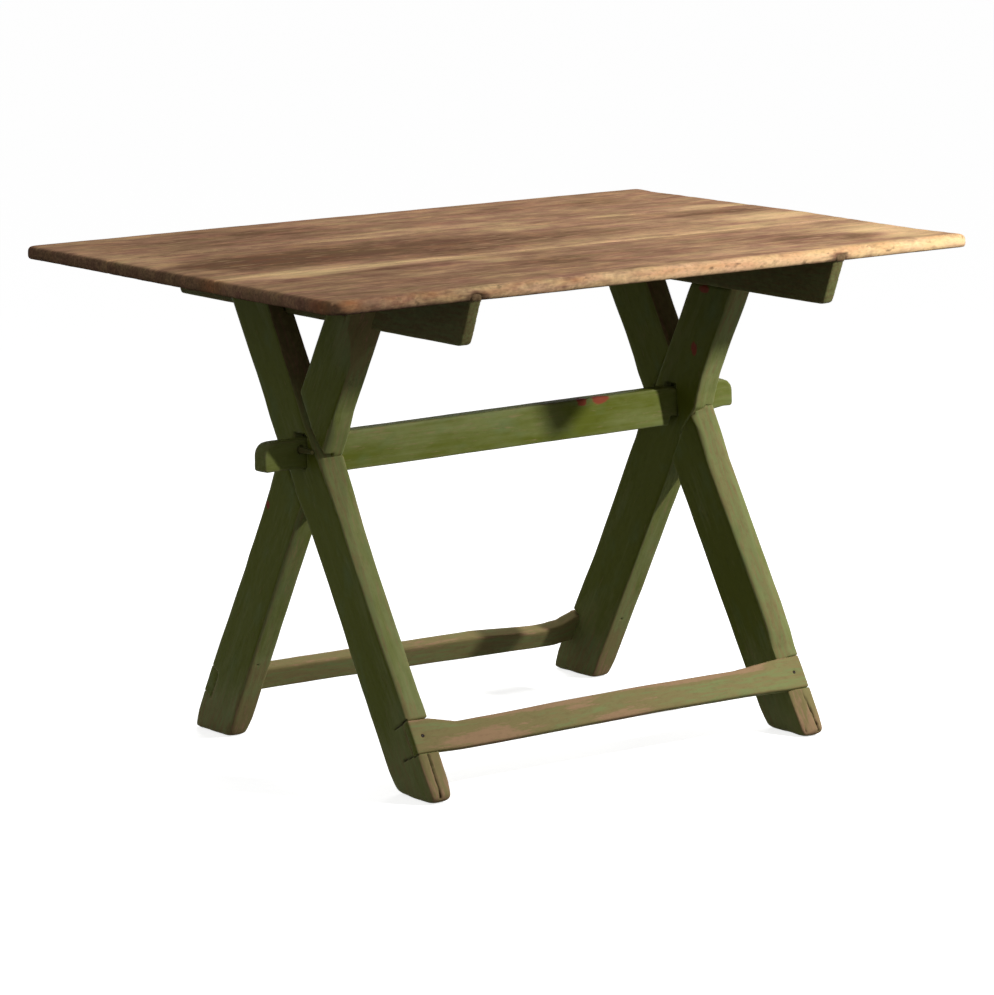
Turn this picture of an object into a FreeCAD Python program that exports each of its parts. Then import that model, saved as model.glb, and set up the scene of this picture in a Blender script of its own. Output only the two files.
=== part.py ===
"""Sawbuck table.

A three-board top lies on two X-shaped trestles. A pegged centre rail ties the crossings
together and two foot rails tie the feet. X runs along the table, Y to the back and Z up.
The origin is on the floor below the middle of the top.
"""
import FreeCAD
import Part
import os

import Sketcher

# The driving dimensions: name, millimetres, meaning.
SIZES = [
    ("table_height", 745, "floor to the upper face of the top"),
    ("top_length", 1119, "length of the top"),
    ("top_width", 838, "front edge to back edge of the top"),
    ("top_thickness", 20, "thickness of the boards"),
    ("back_board_left", 235, "width of the back board at its left end"),
    ("back_board_right", 315, "width of the back board at its right end"),
    ("front_board_left", 307, "width of the front board at its left end"),
    ("front_board_right", 274, "width of the front board at its right end"),
    ("board_gap", 0.6, "open joint between neighbouring boards"),
    ("edge_round", 5, "radius of the worn edges of the top"),
    ("corner_extra", 4, "how much rounder the corners of the top are than its edges"),
    ("trestle_span", 706, "outer face to outer face of the two trestles"),
    ("leg_thickness", 36, "thickness of a leg along the table"),
    ("leg_width", 88, "width of a leg, square to its slope"),
    ("foot_front", 288, "middle of the front feet, in front of the origin"),
    ("foot_back", 271, "middle of the back feet, behind the origin"),
    ("top_front", 153, "middle of the front leg tops, in front of the origin"),
    ("top_back", 154, "middle of the back leg tops, behind the origin"),
    ("toe_round", 10, "radius of the worn front toes"),
    ("lap_gap", 0.3, "play beside each leg in the halved crossing"),
    ("batten_thickness", 20, "thickness of a batten along the table"),
    ("batten_depth", 66, "height of a batten below the boards"),
    ("batten_let_in", 13, "depth of the leg notch that takes the batten"),
    ("batten_front_setback", 6, "batten end behind the front edge of the top"),
    ("batten_back_setback", 33, "batten end in front of the back edge of the top"),
    ("batten_undercut", 27, "how far a batten end slopes inwards"),
    ("batten_corner", 10, "radius of the lower corners of a batten"),
    ("dovetail_neck", 13, "width of the dovetail at the underside of the boards"),
    ("dovetail_head", 17, "width of the dovetail at its top"),
    ("dovetail_rise", 9, "height of the dovetail inside the boards"),
    ("dovetail_gap", 0.3, "play round the dovetail"),
    ("rail_height", 58, "height of the centre rail"),
    ("rail_thickness", 28, "thickness of the centre rail"),
    ("rail_drop", 4, "middle of the centre rail below the crossing"),
    ("tenon_height", 43, "height of the through tenons"),
    ("left_step", 8, "shoulder below the left tenon"),
    ("right_step", 14, "shoulder below the right tenon"),
    ("left_reach", 69, "left tenon beyond the outer face of the leg"),
    ("right_reach", 74, "right tenon beyond the outer face of the leg"),
    ("tenon_top_round", 16, "radius of the upper tenon corners"),
    ("tenon_low_round", 5, "radius of the lower tenon corners"),
    ("right_shoulder_gap", 10, "right shoulder short of the leg"),
    ("mortise_side_gap", 1.5, "play on each side of a tenon"),
    ("mortise_top_gap", 6, "play above a tenon"),
    ("peg_diameter", 12, "diameter of a locking peg"),
    ("peg_length", 96, "length of a locking peg"),
    ("peg_front", 42, "peg tip in front of the tenon"),
    ("peg_rise", 28, "peg axis above the lower edge of the tenon"),
    ("peg_leg_gap", 0.3, "peg off the outer face of the leg"),
    ("peg_play", 0.05, "radial play of a peg in its bore"),
    ("peg_chamfer", 1.5, "chamfer at both ends of a peg"),
    ("front_rail_thickness", 14, "thickness of the front foot rail"),
    ("front_rail_low", 70, "lower outer corner of the front foot rail above the floor"),
    ("front_rail_height", 51, "height of the front foot rail along the leg"),
    ("back_rail_thickness", 21, "thickness of the back foot rail"),
    ("back_rail_low", 64, "lower outer corner of the back foot rail above the floor"),
    ("back_rail_height", 49, "height of the back foot rail along the leg"),
    ("front_waist", 7, "how far the front foot rail narrows between the legs"),
    ("back_waist", 8, "how far the back foot rail narrows between the legs"),
    ("waist_run_left", 45, "length of the left slope of the waist"),
    ("waist_run_right", 90, "length of the right slope of the waist"),
    ("notch_gap", 0.3, "play above a foot rail in its notch"),
    ("nail_diameter", 4, "diameter of a nail"),
    ("nail_head", 9, "diameter of a nail head"),
    ("nail_head_depth", 2, "thickness of a nail head, sunk flush"),
    ("nail_spacing", 26, "distance between a pair of nails"),
    ("nail_play", 0.05, "radial play of a nail in its hole"),
    ("nail_tip_play", 0.2, "hole beyond the point of a nail"),
    ("rail_nail_length", 62, "length of a foot rail nail"),
    ("batten_nail_length", 36, "length of a batten nail"),
]

# Values that follow from the sizes: name, formula, meaning.
LAYOUT = [
    ("underside", "Sizes.table_height - Sizes.top_thickness", "underside of the boards"),
    ("corner_round", "Sizes.edge_round + Sizes.corner_extra", "radius of the worn corners of the top"),
    ("outer", "Sizes.trestle_span / 2", "outer face of a trestle from the middle"),
    ("inner", "outer - Sizes.leg_thickness", "inner face of a trestle from the middle"),
    ("leg_middle", "outer - Sizes.leg_thickness / 2", "middle of a leg from the middle"),
    ("lean_front", "(Sizes.foot_front + Sizes.top_back) / underside", "slope of the front-foot legs"),
    ("lean_back", "(Sizes.foot_back + Sizes.top_front) / underside", "slope of the back-foot legs"),
    ("stretch_front", "sqrt(1 + lean_front ^ 2)", "sloping length for each unit of height"),
    ("stretch_back", "sqrt(1 + lean_back ^ 2)", "sloping length for each unit of height"),
    ("angle_front", "atan(lean_front)", "front-foot leg from upright"),
    ("angle_back", "atan(lean_back)", "back-foot leg from upright"),
    ("level_front", "Sizes.leg_width / 2 * stretch_front", "half width of the leg, measured level"),
    ("level_back", "Sizes.leg_width / 2 * stretch_back", "half width of the leg, measured level"),
    ("cross_z", "(Sizes.foot_front + Sizes.foot_back) / (lean_front + lean_back)", "height of the crossing"),
    ("cross_y", "lean_front * cross_z - Sizes.foot_front", "crossing behind the origin"),
    ("batten_outer", "inner + Sizes.batten_let_in", "outer face of a batten from the middle"),
    ("batten_low", "underside - Sizes.batten_depth", "lower edge of the battens"),
    ("batten_middle", "underside - Sizes.batten_depth / 2", "half height of the battens"),
    ("tongue", "Sizes.leg_thickness - Sizes.batten_let_in", "leg left beside the batten"),
    ("rail_low", "cross_z - Sizes.rail_drop - Sizes.rail_height / 2", "lower edge of the centre rail"),
    ("left_tenon_low", "rail_low + Sizes.left_step", "lower edge of the left tenon"),
    ("right_tenon_low", "rail_low + Sizes.right_step", "lower edge of the right tenon"),
    ("peg_from_middle", "outer + Sizes.peg_leg_gap + Sizes.peg_diameter / 2", "peg axis from the middle"),
    ("front_seat", "lean_front * Sizes.front_rail_low - Sizes.foot_front - level_front",
     "lower outer corner of the front foot rail"),
    ("back_seat", "Sizes.foot_back - lean_back * Sizes.back_rail_low + level_back",
     "lower outer corner of the back foot rail"),
]

SIDES = ("left", "right")
ENDS = ("front", "back")

# Nails in each end of a foot rail, as distances from the middle of its height.
RAIL_NAILS = {
    "front": ["0"],
    "back": ["-Sizes.nail_spacing / 2", "Sizes.nail_spacing / 2"],
}
# Nails in each leg top, as distances from half the height of the batten.
BATTEN_NAILS = ["-Sizes.nail_spacing / 2", "Sizes.nail_spacing / 2"]

# Outward direction of each side along X, and of each end along Y, as a sign in a formula.
SIGN = {"left": "-", "right": "", "front": "-", "back": ""}

NAIL_HOLE = "Sizes.nail_diameter / 2 + Sizes.nail_play"
HEAD_HOLE = "Sizes.nail_head / 2 + Sizes.nail_play"

# Two points this close together are the same point.
SAME_POINT = 0.01

# The middle of a sketch, as the geometry and the point of it that a constraint names.
SKETCH_MIDDLE = (-1, 1)

# A turn in degrees that only sets the axis: a formula then gives the angle.
FIRST_TURN = 90


def fill_sheet(doc, name, rows, prefix):
    """Make a sheet with one named value in each row."""
    sheet = doc.addObject("Spreadsheet::Sheet", name)
    for row, (alias, content, meaning) in enumerate(rows, 1):
        cell = "B%d" % row
        sheet.set("A%d" % row, meaning)
        sheet.set(cell, prefix + str(content))
        sheet.setAlias(cell, alias)
    doc.recompute()
    return sheet


def new_body(doc, label, **position):
    """Make a named body. Each position is a formula for x, y or z."""
    body = doc.addObject("PartDesign::Body", label)
    body.Label = label
    for axis, formula in position.items():
        body.setExpression("Placement.Base." + axis, formula)
    return body


def new_sketch(body, name, role, lift):
    """Make a sketch on one of the body's own planes, lifted along the plane's normal."""
    plane = next(item for item in body.Origin.OriginFeatures if item.Role == role)
    sketch = body.newObject("Sketcher::SketchObject", name)
    sketch.AttachmentSupport = [(plane, "")]
    sketch.MapMode = "FlatFace"
    sketch.setExpression("AttachmentOffset.Base.z", lift)
    return sketch


def pin_point(sketch, geometry, position, point):
    """Hold one point of the sketch at two formulas."""
    for kind, formula in zip(("DistanceX", "DistanceY"), point):
        start = float(sketch.evalExpression(formula))
        held = Sketcher.Constraint(kind, *SKETCH_MIDDLE, geometry, position, start)
        number = sketch.addConstraint(held)
        sketch.setExpression("Constraints[%d]" % number, formula)


def vector_at(item, formulas):
    """The point that two or three formulas give."""
    return FreeCAD.Vector(*(float(item.evalExpression(formula)) for formula in formulas))


def draw_polygon(body, name, role, points, lift="0"):
    """Draw a closed polygon. Each point is a pair of formulas."""
    sketch = new_sketch(body, name, role, lift)
    corners = [vector_at(sketch, point) for point in points]
    count = len(corners)
    for number in range(count):
        sketch.addGeometry(Part.LineSegment(corners[number], corners[(number + 1) % count]), False)
    for number in range(count):
        sketch.addConstraint(Sketcher.Constraint("Coincident", number, 2, (number + 1) % count, 1))
    for number, point in enumerate(points):
        pin_point(sketch, number, 1, point)
    return sketch


def draw_circles(body, name, role, centres, radius, lift="0"):
    """Draw circles of one radius. Each centre is a pair of formulas."""
    sketch = new_sketch(body, name, role, lift)
    size = float(sketch.evalExpression(radius))
    for number, centre in enumerate(centres):
        upright = FreeCAD.Vector(0, 0, 1)
        sketch.addGeometry(Part.Circle(vector_at(sketch, centre), upright, size), False)
        pin_point(sketch, number, 3, centre)
        constraint = sketch.addConstraint(Sketcher.Constraint("Radius", number, size))
        sketch.setExpression("Constraints[%d]" % constraint, radius)
    return sketch


def pad(body, sketch, length, reverse=False, both_ways=False):
    """Raise a sketch into a solid, along its normal unless reversed."""
    feature = body.newObject("PartDesign::Pad", sketch.Name + "Pad")
    feature.Profile = sketch
    feature.setExpression("Length", length)
    feature.Reversed = reverse
    if both_ways:
        feature.SideType = "Symmetric"
    body.Document.recompute()
    return feature


def pocket(body, sketch, length=None, reverse=False, both_ways=False):
    """Cut a sketch out of the solid, against its normal unless reversed. No length cuts right through."""
    before = body.Tip.Shape.Volume
    feature = body.newObject("PartDesign::Pocket", sketch.Name + "Cut")
    feature.Profile = sketch
    if length is None:
        feature.Type = "ThroughAll"
    else:
        feature.setExpression("Length", length)
    feature.Reversed = reverse
    if both_ways:
        feature.SideType = "Symmetric"
    body.Document.recompute()
    if not feature.Shape.Volume < before:
        raise RuntimeError("%s cuts nothing" % feature.Name)
    return feature


def edges_at(base, spots):
    """Names of the edges whose middles lie at the given spots, each a set of three formulas."""
    middles = [vector_at(base, spot) for spot in spots]
    names = []
    for number, edge in enumerate(base.Shape.Edges, 1):
        if any(edge.CenterOfMass.isEqual(middle, SAME_POINT) for middle in middles):
            names.append("Edge%d" % number)
    if len(names) != len(spots):
        raise RuntimeError("%s has %d of %d edges" % (base.Name, len(names), len(spots)))
    return names


def level_edges_off(base, seams):
    """Names of the level edges that lie on none of the seams, each a pair of corners in plan."""
    lines = [[vector_at(base, corner) for corner in seam] for seam in seams]
    names = []
    for number, edge in enumerate(base.Shape.Edges, 1):
        middle = edge.CenterOfMass
        middle.z = 0
        level = edge.BoundBox.ZLength < SAME_POINT
        if level and all(middle.distanceToLine(start, end - start) > SAME_POINT for start, end in lines):
            names.append("Edge%d" % number)
    return names


def soften(body, kind, base, names, setting, formula):
    """Add a fillet or a chamfer to the named edges of the base."""
    feature = body.newObject("PartDesign::" + kind, base.Name + kind)
    feature.Base = (base, names)
    feature.setExpression(setting, formula)
    body.Document.recompute()
    return feature


def make_board(doc, label, outline, corners, seams):
    """A board of the top, worn round at its outer corners and edges, with a groove for each dovetail."""
    body = new_body(doc, label, z="Layout.underside")
    plank = pad(body, draw_polygon(body, label + "_plan", "XY_Plane", outline), "Sizes.top_thickness")
    if corners:
        spots = [(x, y, "Sizes.top_thickness / 2") for x, y in corners]
        plank = soften(body, "Fillet", plank, edges_at(plank, spots), "Radius", "Layout.corner_round")
    soften(body, "Fillet", plank, level_edges_off(plank, seams), "Radius", "Sizes.edge_round")
    for side in SIDES:
        middle = "%s(Layout.batten_outer - Sizes.batten_thickness / 2)" % SIGN[side]
        profile = dovetail_outline(middle, "0", "Sizes.dovetail_gap")
        groove = draw_polygon(body, "%s_%s_groove" % (label, side), "XZ_Plane", profile)
        pocket(body, groove, both_ways=True)
    return body


def dovetail_outline(middle, low, gap):
    """Corners of a dovetail in the XZ plane: narrow at its foot, wide at its top."""
    neck = "(Sizes.dovetail_neck / 2 + %s)" % gap
    head = "(Sizes.dovetail_head / 2 + %s)" % gap
    high = "%s + Sizes.dovetail_rise + %s" % (low, gap)
    return [
        ("%s - %s" % (middle, neck), low),
        ("%s + %s" % (middle, neck), low),
        ("%s + %s" % (middle, head), high),
        ("%s - %s" % (middle, head), high),
    ]


def make_top(doc):
    """The three tapered boards of the top."""
    left, right = "-Sizes.top_length / 2", "Sizes.top_length / 2"
    back, front = "Sizes.top_width / 2", "-Sizes.top_width / 2"
    back_seam = [(left, back + " - Sizes.back_board_left"), (right, back + " - Sizes.back_board_right")]
    front_seam = [(left, front + " + Sizes.front_board_left"), (right, front + " + Sizes.front_board_right")]
    middle_back = [(x, y + " - Sizes.board_gap") for x, y in back_seam]
    middle_front = [(x, y + " + Sizes.board_gap") for x, y in front_seam]
    back_edge = [(left, back), (right, back)]
    front_edge = [(left, front), (right, front)]
    return [
        make_board(doc, "top_board_back", back_seam + back_edge[::-1], back_edge, [back_seam]),
        make_board(doc, "top_board_middle", middle_front + middle_back[::-1], [],
                   [middle_front, middle_back]),
        make_board(doc, "top_board_front", front_edge + front_seam[::-1], front_edge, [front_seam]),
    ]


def batten_nail_spots(end):
    """Middles of the nails, in the YZ plane, through the leg whose foot is at the given end."""
    spots = []
    for offset in BATTEN_NAILS:
        height = "(Layout.batten_middle + %s)" % offset
        level = "(Sizes.foot_%s - Layout.lean_%s * %s)" % (end, end, height)
        spots.append((SIGN[end] + level, height))
    return spots


def make_batten(doc, side):
    """A batten below the boards, with sloping ends and a dovetail along its top."""
    label = side + "_batten"
    place = "-Layout.batten_outer" if side == "left" else "Layout.batten_outer - Sizes.batten_thickness"
    body = new_body(doc, label, x=place)
    front = "Sizes.batten_front_setback - Sizes.top_width / 2"
    back = "Sizes.top_width / 2 - Sizes.batten_back_setback"
    low_front = front + " + Sizes.batten_undercut"
    low_back = back + " - Sizes.batten_undercut"
    outline = [(low_front, "Layout.batten_low"), (low_back, "Layout.batten_low"),
               (back, "Layout.underside"), (front, "Layout.underside")]
    plank = pad(body, draw_polygon(body, label + "_side", "YZ_Plane", outline), "Sizes.batten_thickness")
    spots = [("Sizes.batten_thickness / 2", y, "Layout.batten_low") for y in (low_front, low_back)]
    soften(body, "Fillet", plank, edges_at(plank, spots), "Radius", "Sizes.batten_corner")
    profile = dovetail_outline("Sizes.batten_thickness / 2", "Layout.underside", "0")
    dovetail = draw_polygon(body, label + "_dovetail", "XZ_Plane", profile, lift="-(%s)" % back)
    pad(body, dovetail, "(%s) - (%s)" % (back, front))
    centres = [spot for end in ENDS for spot in batten_nail_spots(end)]
    far = side == "right"
    lift = "Sizes.batten_thickness" if far else "0"
    holes = draw_circles(body, label + "_nail_holes", "YZ_Plane", centres, NAIL_HOLE, lift)
    pocket(body, holes, "Sizes.batten_nail_length - Layout.tongue + Sizes.nail_tip_play", reverse=not far)
    return body


def leg_band(end, gap="0"):
    """Corners of a leg in the YZ plane, from the floor to the boards, with play on both edges."""
    other = "back" if end == "front" else "front"
    half = "(Layout.level_%s + %s * Layout.stretch_%s)" % (end, gap, end)
    foot = "%sSizes.foot_%s" % (SIGN[end], end)
    head = "%sSizes.top_%s" % (SIGN[other], other)
    return [
        ("%s - %s" % (foot, half), "0"),
        ("%s + %s" % (foot, half), "0"),
        ("%s + %s" % (head, half), "Layout.underside"),
        ("%s - %s" % (head, half), "Layout.underside"),
    ]


def seat_point(end, along, inward):
    """A point in the YZ plane, measured along a leg and into it from the foot rail's lower outer corner."""
    lean, stretch = "Layout.lean_" + end, "Layout.stretch_" + end
    turn = "+" if end == "front" else "-"
    level = "Layout.%s_seat %s ((%s) * %s + (%s)) / %s" % (end, turn, along, lean, inward, stretch)
    height = "Sizes.%s_rail_low + ((%s) - (%s) * %s) / %s" % (end, along, inward, lean, stretch)
    return level, height


def rail_nail_spots(end):
    """Middles of the foot rail's nails in the YZ plane, at the face of the rail."""
    half = "Sizes.%s_rail_height / 2" % end
    return [seat_point(end, "%s + %s" % (half, offset), "0") for offset in RAIL_NAILS[end]]


def notch_outline(end):
    """Corners of the notch for the foot rail, run out past the edge of the leg."""
    depth = "Sizes.%s_rail_thickness" % end
    high = "Sizes.%s_rail_height + Sizes.notch_gap" % end
    return [
        seat_point(end, "0", "-" + depth),
        seat_point(end, "0", depth),
        seat_point(end, high, depth),
        seat_point(end, high, "-" + depth),
    ]


def mortise_outline(side):
    """Corners of the mortise in the YZ plane."""
    half = "(Sizes.rail_thickness / 2 + Sizes.mortise_side_gap)"
    low = "Layout.%s_tenon_low" % side
    high = low + " + Sizes.tenon_height + Sizes.mortise_top_gap"
    return [
        ("Layout.cross_y - " + half, low),
        ("Layout.cross_y + " + half, low),
        ("Layout.cross_y + " + half, high),
        ("Layout.cross_y - " + half, high),
    ]


def batten_notch_outline():
    """Corners of the leg notch for the batten, run out past both edges of the leg."""
    wide = "Sizes.top_width / 2"
    return [
        ("-" + wide, "Layout.batten_low"),
        (wide, "Layout.batten_low"),
        (wide, "Layout.underside"),
        ("-" + wide, "Layout.underside"),
    ]


def make_leg(doc, side, end):
    """A sloping leg, named for where its foot stands, with all its joints cut.

    The leg with its foot at the front runs whole on the outer side of the crossing,
    and the other one on the inner side.
    """
    label = "%s_%s_leg" % (side, end)
    other = "back" if end == "front" else "front"
    body = new_body(doc, label, x="-Layout.outer" if side == "left" else "Layout.inner")
    leg = pad(body, draw_polygon(body, label + "_side", "YZ_Plane", leg_band(end)), "Sizes.leg_thickness")
    if end == "front":
        toe = [("Sizes.leg_thickness / 2",) + leg_band(end)[0]]
        soften(body, "Fillet", leg, edges_at(leg, toe), "Radius", "Sizes.toe_round")

    def cut(name, points, depth, outer_side):
        """Cut from the outer or the inner face of the leg."""
        far = (side == "right") == outer_side
        lift = "Sizes.leg_thickness" if far else "0"
        sketch = draw_polygon(body, "%s_%s" % (label, name), "YZ_Plane", points, lift)
        pocket(body, sketch, depth, reverse=not far)

    def drill(name, centres, radius, depth):
        """Drill along the table from the outer face of the leg."""
        far = side == "right"
        lift = "Sizes.leg_thickness" if far else "0"
        sketch = draw_circles(body, "%s_%s" % (label, name), "YZ_Plane", centres, radius, lift)
        pocket(body, sketch, depth, reverse=not far)

    cut("lap", leg_band(other, "Sizes.lap_gap"), "Sizes.leg_thickness / 2", outer_side=end == "back")
    cut("batten_notch", batten_notch_outline(), "Sizes.batten_let_in", outer_side=False)
    cut("mortise", mortise_outline(side), None, outer_side=True)
    cut("rail_notch", notch_outline(end), None, outer_side=True)
    drill("nail_holes", batten_nail_spots(end), NAIL_HOLE, None)
    drill("nail_heads", batten_nail_spots(end), HEAD_HOLE, "Sizes.nail_head_depth")
    for number, (level, height) in enumerate(rail_nail_spots(end), 1):
        hole = body.newObject("PartDesign::SubtractiveCylinder", "%s_rail_nail_%d" % (label, number))
        hole.setExpression("Radius", NAIL_HOLE)
        hole.setExpression("Height", "Sizes.rail_nail_length + Sizes.nail_tip_play")
        aim_into_leg(hole, end, "Sizes.leg_thickness / 2", level, height)
    doc.recompute()
    return body


def turn_and_place(item, axis, angle, position):
    """Turn a piece about an axis by one formula and place it by three."""
    item.Placement = FreeCAD.Placement(FreeCAD.Vector(), FreeCAD.Rotation(axis, FIRST_TURN))
    item.setExpression("Placement.Rotation.Angle", angle)
    for name, formula in zip("xyz", position):
        item.setExpression("Placement.Base." + name, formula)


def lean_axis(end):
    """The axis about which an upright piece leans like the leg with its foot at the given end."""
    return FreeCAD.Vector(-1 if end == "front" else 1, 0, 0)


def aim_into_leg(item, end, *position):
    """Place an upright round piece so that it runs square into the outer edge of a leg."""
    turn_and_place(item, lean_axis(end), "90 deg + Layout.angle_" + end, position)


def aim_along_table(item, side, *position):
    """Place an upright round piece so that it runs inwards from the outer face of a leg."""
    axis = FreeCAD.Vector(0, 1 if side == "left" else -1, 0)
    turn_and_place(item, axis, "90 deg", position)


def make_centre_rail(doc):
    """The rail between the crossings, with a rounded through tenon at each end."""
    label = "centre_rail"
    body = new_body(doc, label, y="Layout.cross_y")
    end = {"left": "-Layout.outer - Sizes.left_reach", "right": "Layout.outer + Sizes.right_reach"}
    shoulder = {"left": "-Layout.inner", "right": "Layout.inner - Sizes.right_shoulder_gap"}
    low = {side: "Layout.%s_tenon_low" % side for side in SIDES}
    high = {side: low[side] + " + Sizes.tenon_height" for side in SIDES}
    rail_low, rail_high = "Layout.rail_low", "Layout.rail_low + Sizes.rail_height"
    tenon = {}
    for side in SIDES:
        tenon[side] = [
            (shoulder[side], rail_low), (shoulder[side], low[side]), (end[side], low[side]),
            (end[side], high[side]), (shoulder[side], high[side]), (shoulder[side], rail_high),
        ]
    outline = draw_polygon(body, label + "_side", "XZ_Plane", tenon["right"] + tenon["left"][::-1])
    rail = pad(body, outline, "Sizes.rail_thickness", both_ways=True)
    for height, radius in ((high, "Sizes.tenon_top_round"), (low, "Sizes.tenon_low_round")):
        spots = [(end[side], "0", height[side]) for side in SIDES]
        rail = soften(body, "Fillet", rail, edges_at(rail, spots), "Radius", radius)
    centres = [(SIGN[side] + "Layout.peg_from_middle", peg_height(side)) for side in SIDES]
    radius = "Sizes.peg_diameter / 2 + Sizes.peg_play"
    bores = draw_circles(body, label + "_peg_bores", "XZ_Plane", centres, radius)
    pocket(body, bores, both_ways=True)
    return body


def peg_height(side):
    """Height of a peg's axis above the floor."""
    return "Layout.%s_tenon_low + Sizes.peg_rise" % side


def make_peg(doc, side):
    """A round locking peg through a tenon, just outside the leg."""
    label = side + "_locking_peg"
    body = new_body(
        doc, label,
        x=SIGN[side] + "Layout.peg_from_middle",
        y="Layout.cross_y - Sizes.rail_thickness / 2 - Sizes.peg_front",
        z=peg_height(side),
    )
    circle = draw_circles(body, label + "_end", "XZ_Plane", [("0", "0")], "Sizes.peg_diameter / 2")
    rod = pad(body, circle, "Sizes.peg_length", reverse=True)
    spots = [("0", y, "0") for y in ("0", "Sizes.peg_length")]
    soften(body, "Chamfer", rod, edges_at(rod, spots), "Size", "Sizes.peg_chamfer")
    return body


def make_foot_rail(doc, end):
    """A low rail let into the outer edges of the legs, narrowed between them."""
    label = end + "_foot_rail"
    body = new_body(doc, label)
    position = ("0", "Layout.%s_seat" % end, "Sizes.%s_rail_low" % end)
    turn_and_place(body, lean_axis(end), "Layout.angle_" + end, position)
    high = "Sizes.%s_rail_height" % end
    waist = "%s - Sizes.%s_waist" % (high, end)
    outline = [
        ("-Layout.outer", "0"), ("Layout.outer", "0"), ("Layout.outer", high), ("Layout.inner", high),
        ("Layout.inner - Sizes.waist_run_right", waist), ("Sizes.waist_run_left - Layout.inner", waist),
        ("-Layout.inner", high), ("-Layout.outer", high),
    ]
    inward = end == "front"
    face = draw_polygon(body, label + "_face", "XZ_Plane", outline)
    pad(body, face, "Sizes.%s_rail_thickness" % end, reverse=inward)
    centres = []
    for side in SIDES:
        for offset in RAIL_NAILS[end]:
            centres.append((SIGN[side] + "Layout.leg_middle", high + " / 2 + " + offset))
    holes = draw_circles(body, label + "_nail_holes", "XZ_Plane", centres, NAIL_HOLE)
    pocket(body, holes, reverse=not inward)
    heads = draw_circles(body, label + "_nail_heads", "XZ_Plane", centres, HEAD_HOLE)
    pocket(body, heads, "Sizes.nail_head_depth", reverse=not inward)
    return body


def make_nail(doc, name, length, aim):
    """A nail with a flat head. The aim function places both its parts."""
    parts = []
    for part, radius, height in (("head", "Sizes.nail_head / 2", "Sizes.nail_head_depth"),
                                 ("shank", "Sizes.nail_diameter / 2", length)):
        rod = doc.addObject("Part::Cylinder", "%s_%s" % (name, part))
        rod.setExpression("Radius", radius)
        rod.setExpression("Height", height)
        aim(rod)
        parts.append(rod)
    nail = doc.addObject("Part::MultiFuse", name)
    nail.Shapes = parts
    return nail


def make_nail_group(doc, label, nails):
    """Nails of one kind, kept together as one piece."""
    group = doc.addObject("Part::Compound", label)
    group.Label = label
    group.Links = nails
    doc.recompute()
    return group


def make_rail_nails(doc, end):
    """The nails at both ends of a foot rail."""
    nails = []
    for side in SIDES:
        for number, (level, height) in enumerate(rail_nail_spots(end), 1):
            along = SIGN[side] + "Layout.leg_middle"
            name = "%s_rail_nail_%s_%d" % (end, side, number)

            def aim(item, place=(along, level, height)):
                aim_into_leg(item, end, *place)

            nails.append(make_nail(doc, name, "Sizes.rail_nail_length", aim))
    return make_nail_group(doc, end + "_rail_nails", nails)


def make_batten_nails(doc, side):
    """The nails from the leg tops of one trestle into its batten."""
    nails = []
    for end in ENDS:
        for number, (level, height) in enumerate(batten_nail_spots(end), 1):
            along = SIGN[side] + "Layout.outer"
            name = "%s_batten_nail_%s_%d" % (side, end, number)

            def aim(item, place=(along, level, height)):
                aim_along_table(item, side, *place)

            nails.append(make_nail(doc, name, "Sizes.batten_nail_length", aim))
    return make_nail_group(doc, side + "_batten_nails", nails)


def make_pieces(doc):
    """Every piece of the table."""
    pieces = make_top(doc)
    pieces += [make_batten(doc, side) for side in SIDES]
    pieces += [make_leg(doc, side, end) for side in SIDES for end in ENDS]
    pieces.append(make_centre_rail(doc))
    pieces += [make_peg(doc, side) for side in SIDES]
    pieces += [make_foot_rail(doc, end) for end in ENDS]
    pieces += [make_rail_nails(doc, end) for end in ENDS]
    pieces += [make_batten_nails(doc, side) for side in SIDES]
    return pieces


def check(doc, pieces):
    """Stop if any step of the build failed or a piece isn't a sound solid."""
    for item in doc.Objects:
        if "Invalid" in item.State or "Error" in item.State:
            raise RuntimeError("%s failed: %s" % (item.Label, item.State))
    for piece in pieces:
        if piece.Shape.isNull() or not piece.Shape.isValid() or not piece.Shape.Solids:
            raise RuntimeError("%s has no sound solid" % piece.Label)


def main():
    """Build the table and write one file for each piece."""
    doc = FreeCAD.newDocument("SawbuckTable")
    fill_sheet(doc, "Sizes", SIZES, "")
    fill_sheet(doc, "Layout", LAYOUT, "=")
    pieces = make_pieces(doc)
    doc.recompute()
    check(doc, pieces)
    os.makedirs("parts", exist_ok=True)
    for piece in pieces:
        piece.Shape.exportStep("parts/%s.step" % piece.Label)


main()
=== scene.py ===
"""Looks of the sawbuck table, laid out as a Blender add-on and run as a script.

Each wooden piece is an evenly meshed copy of its CAD node, shaped by wear in its own axes:
along the grain, across it and through it. The finish of each point is kept in attributes
that the materials read. Lengths are in metres, unless a comment says millimetres.
"""

import bmesh
import bpy
import numpy as np
from mathutils import Matrix, Vector, noise


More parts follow.
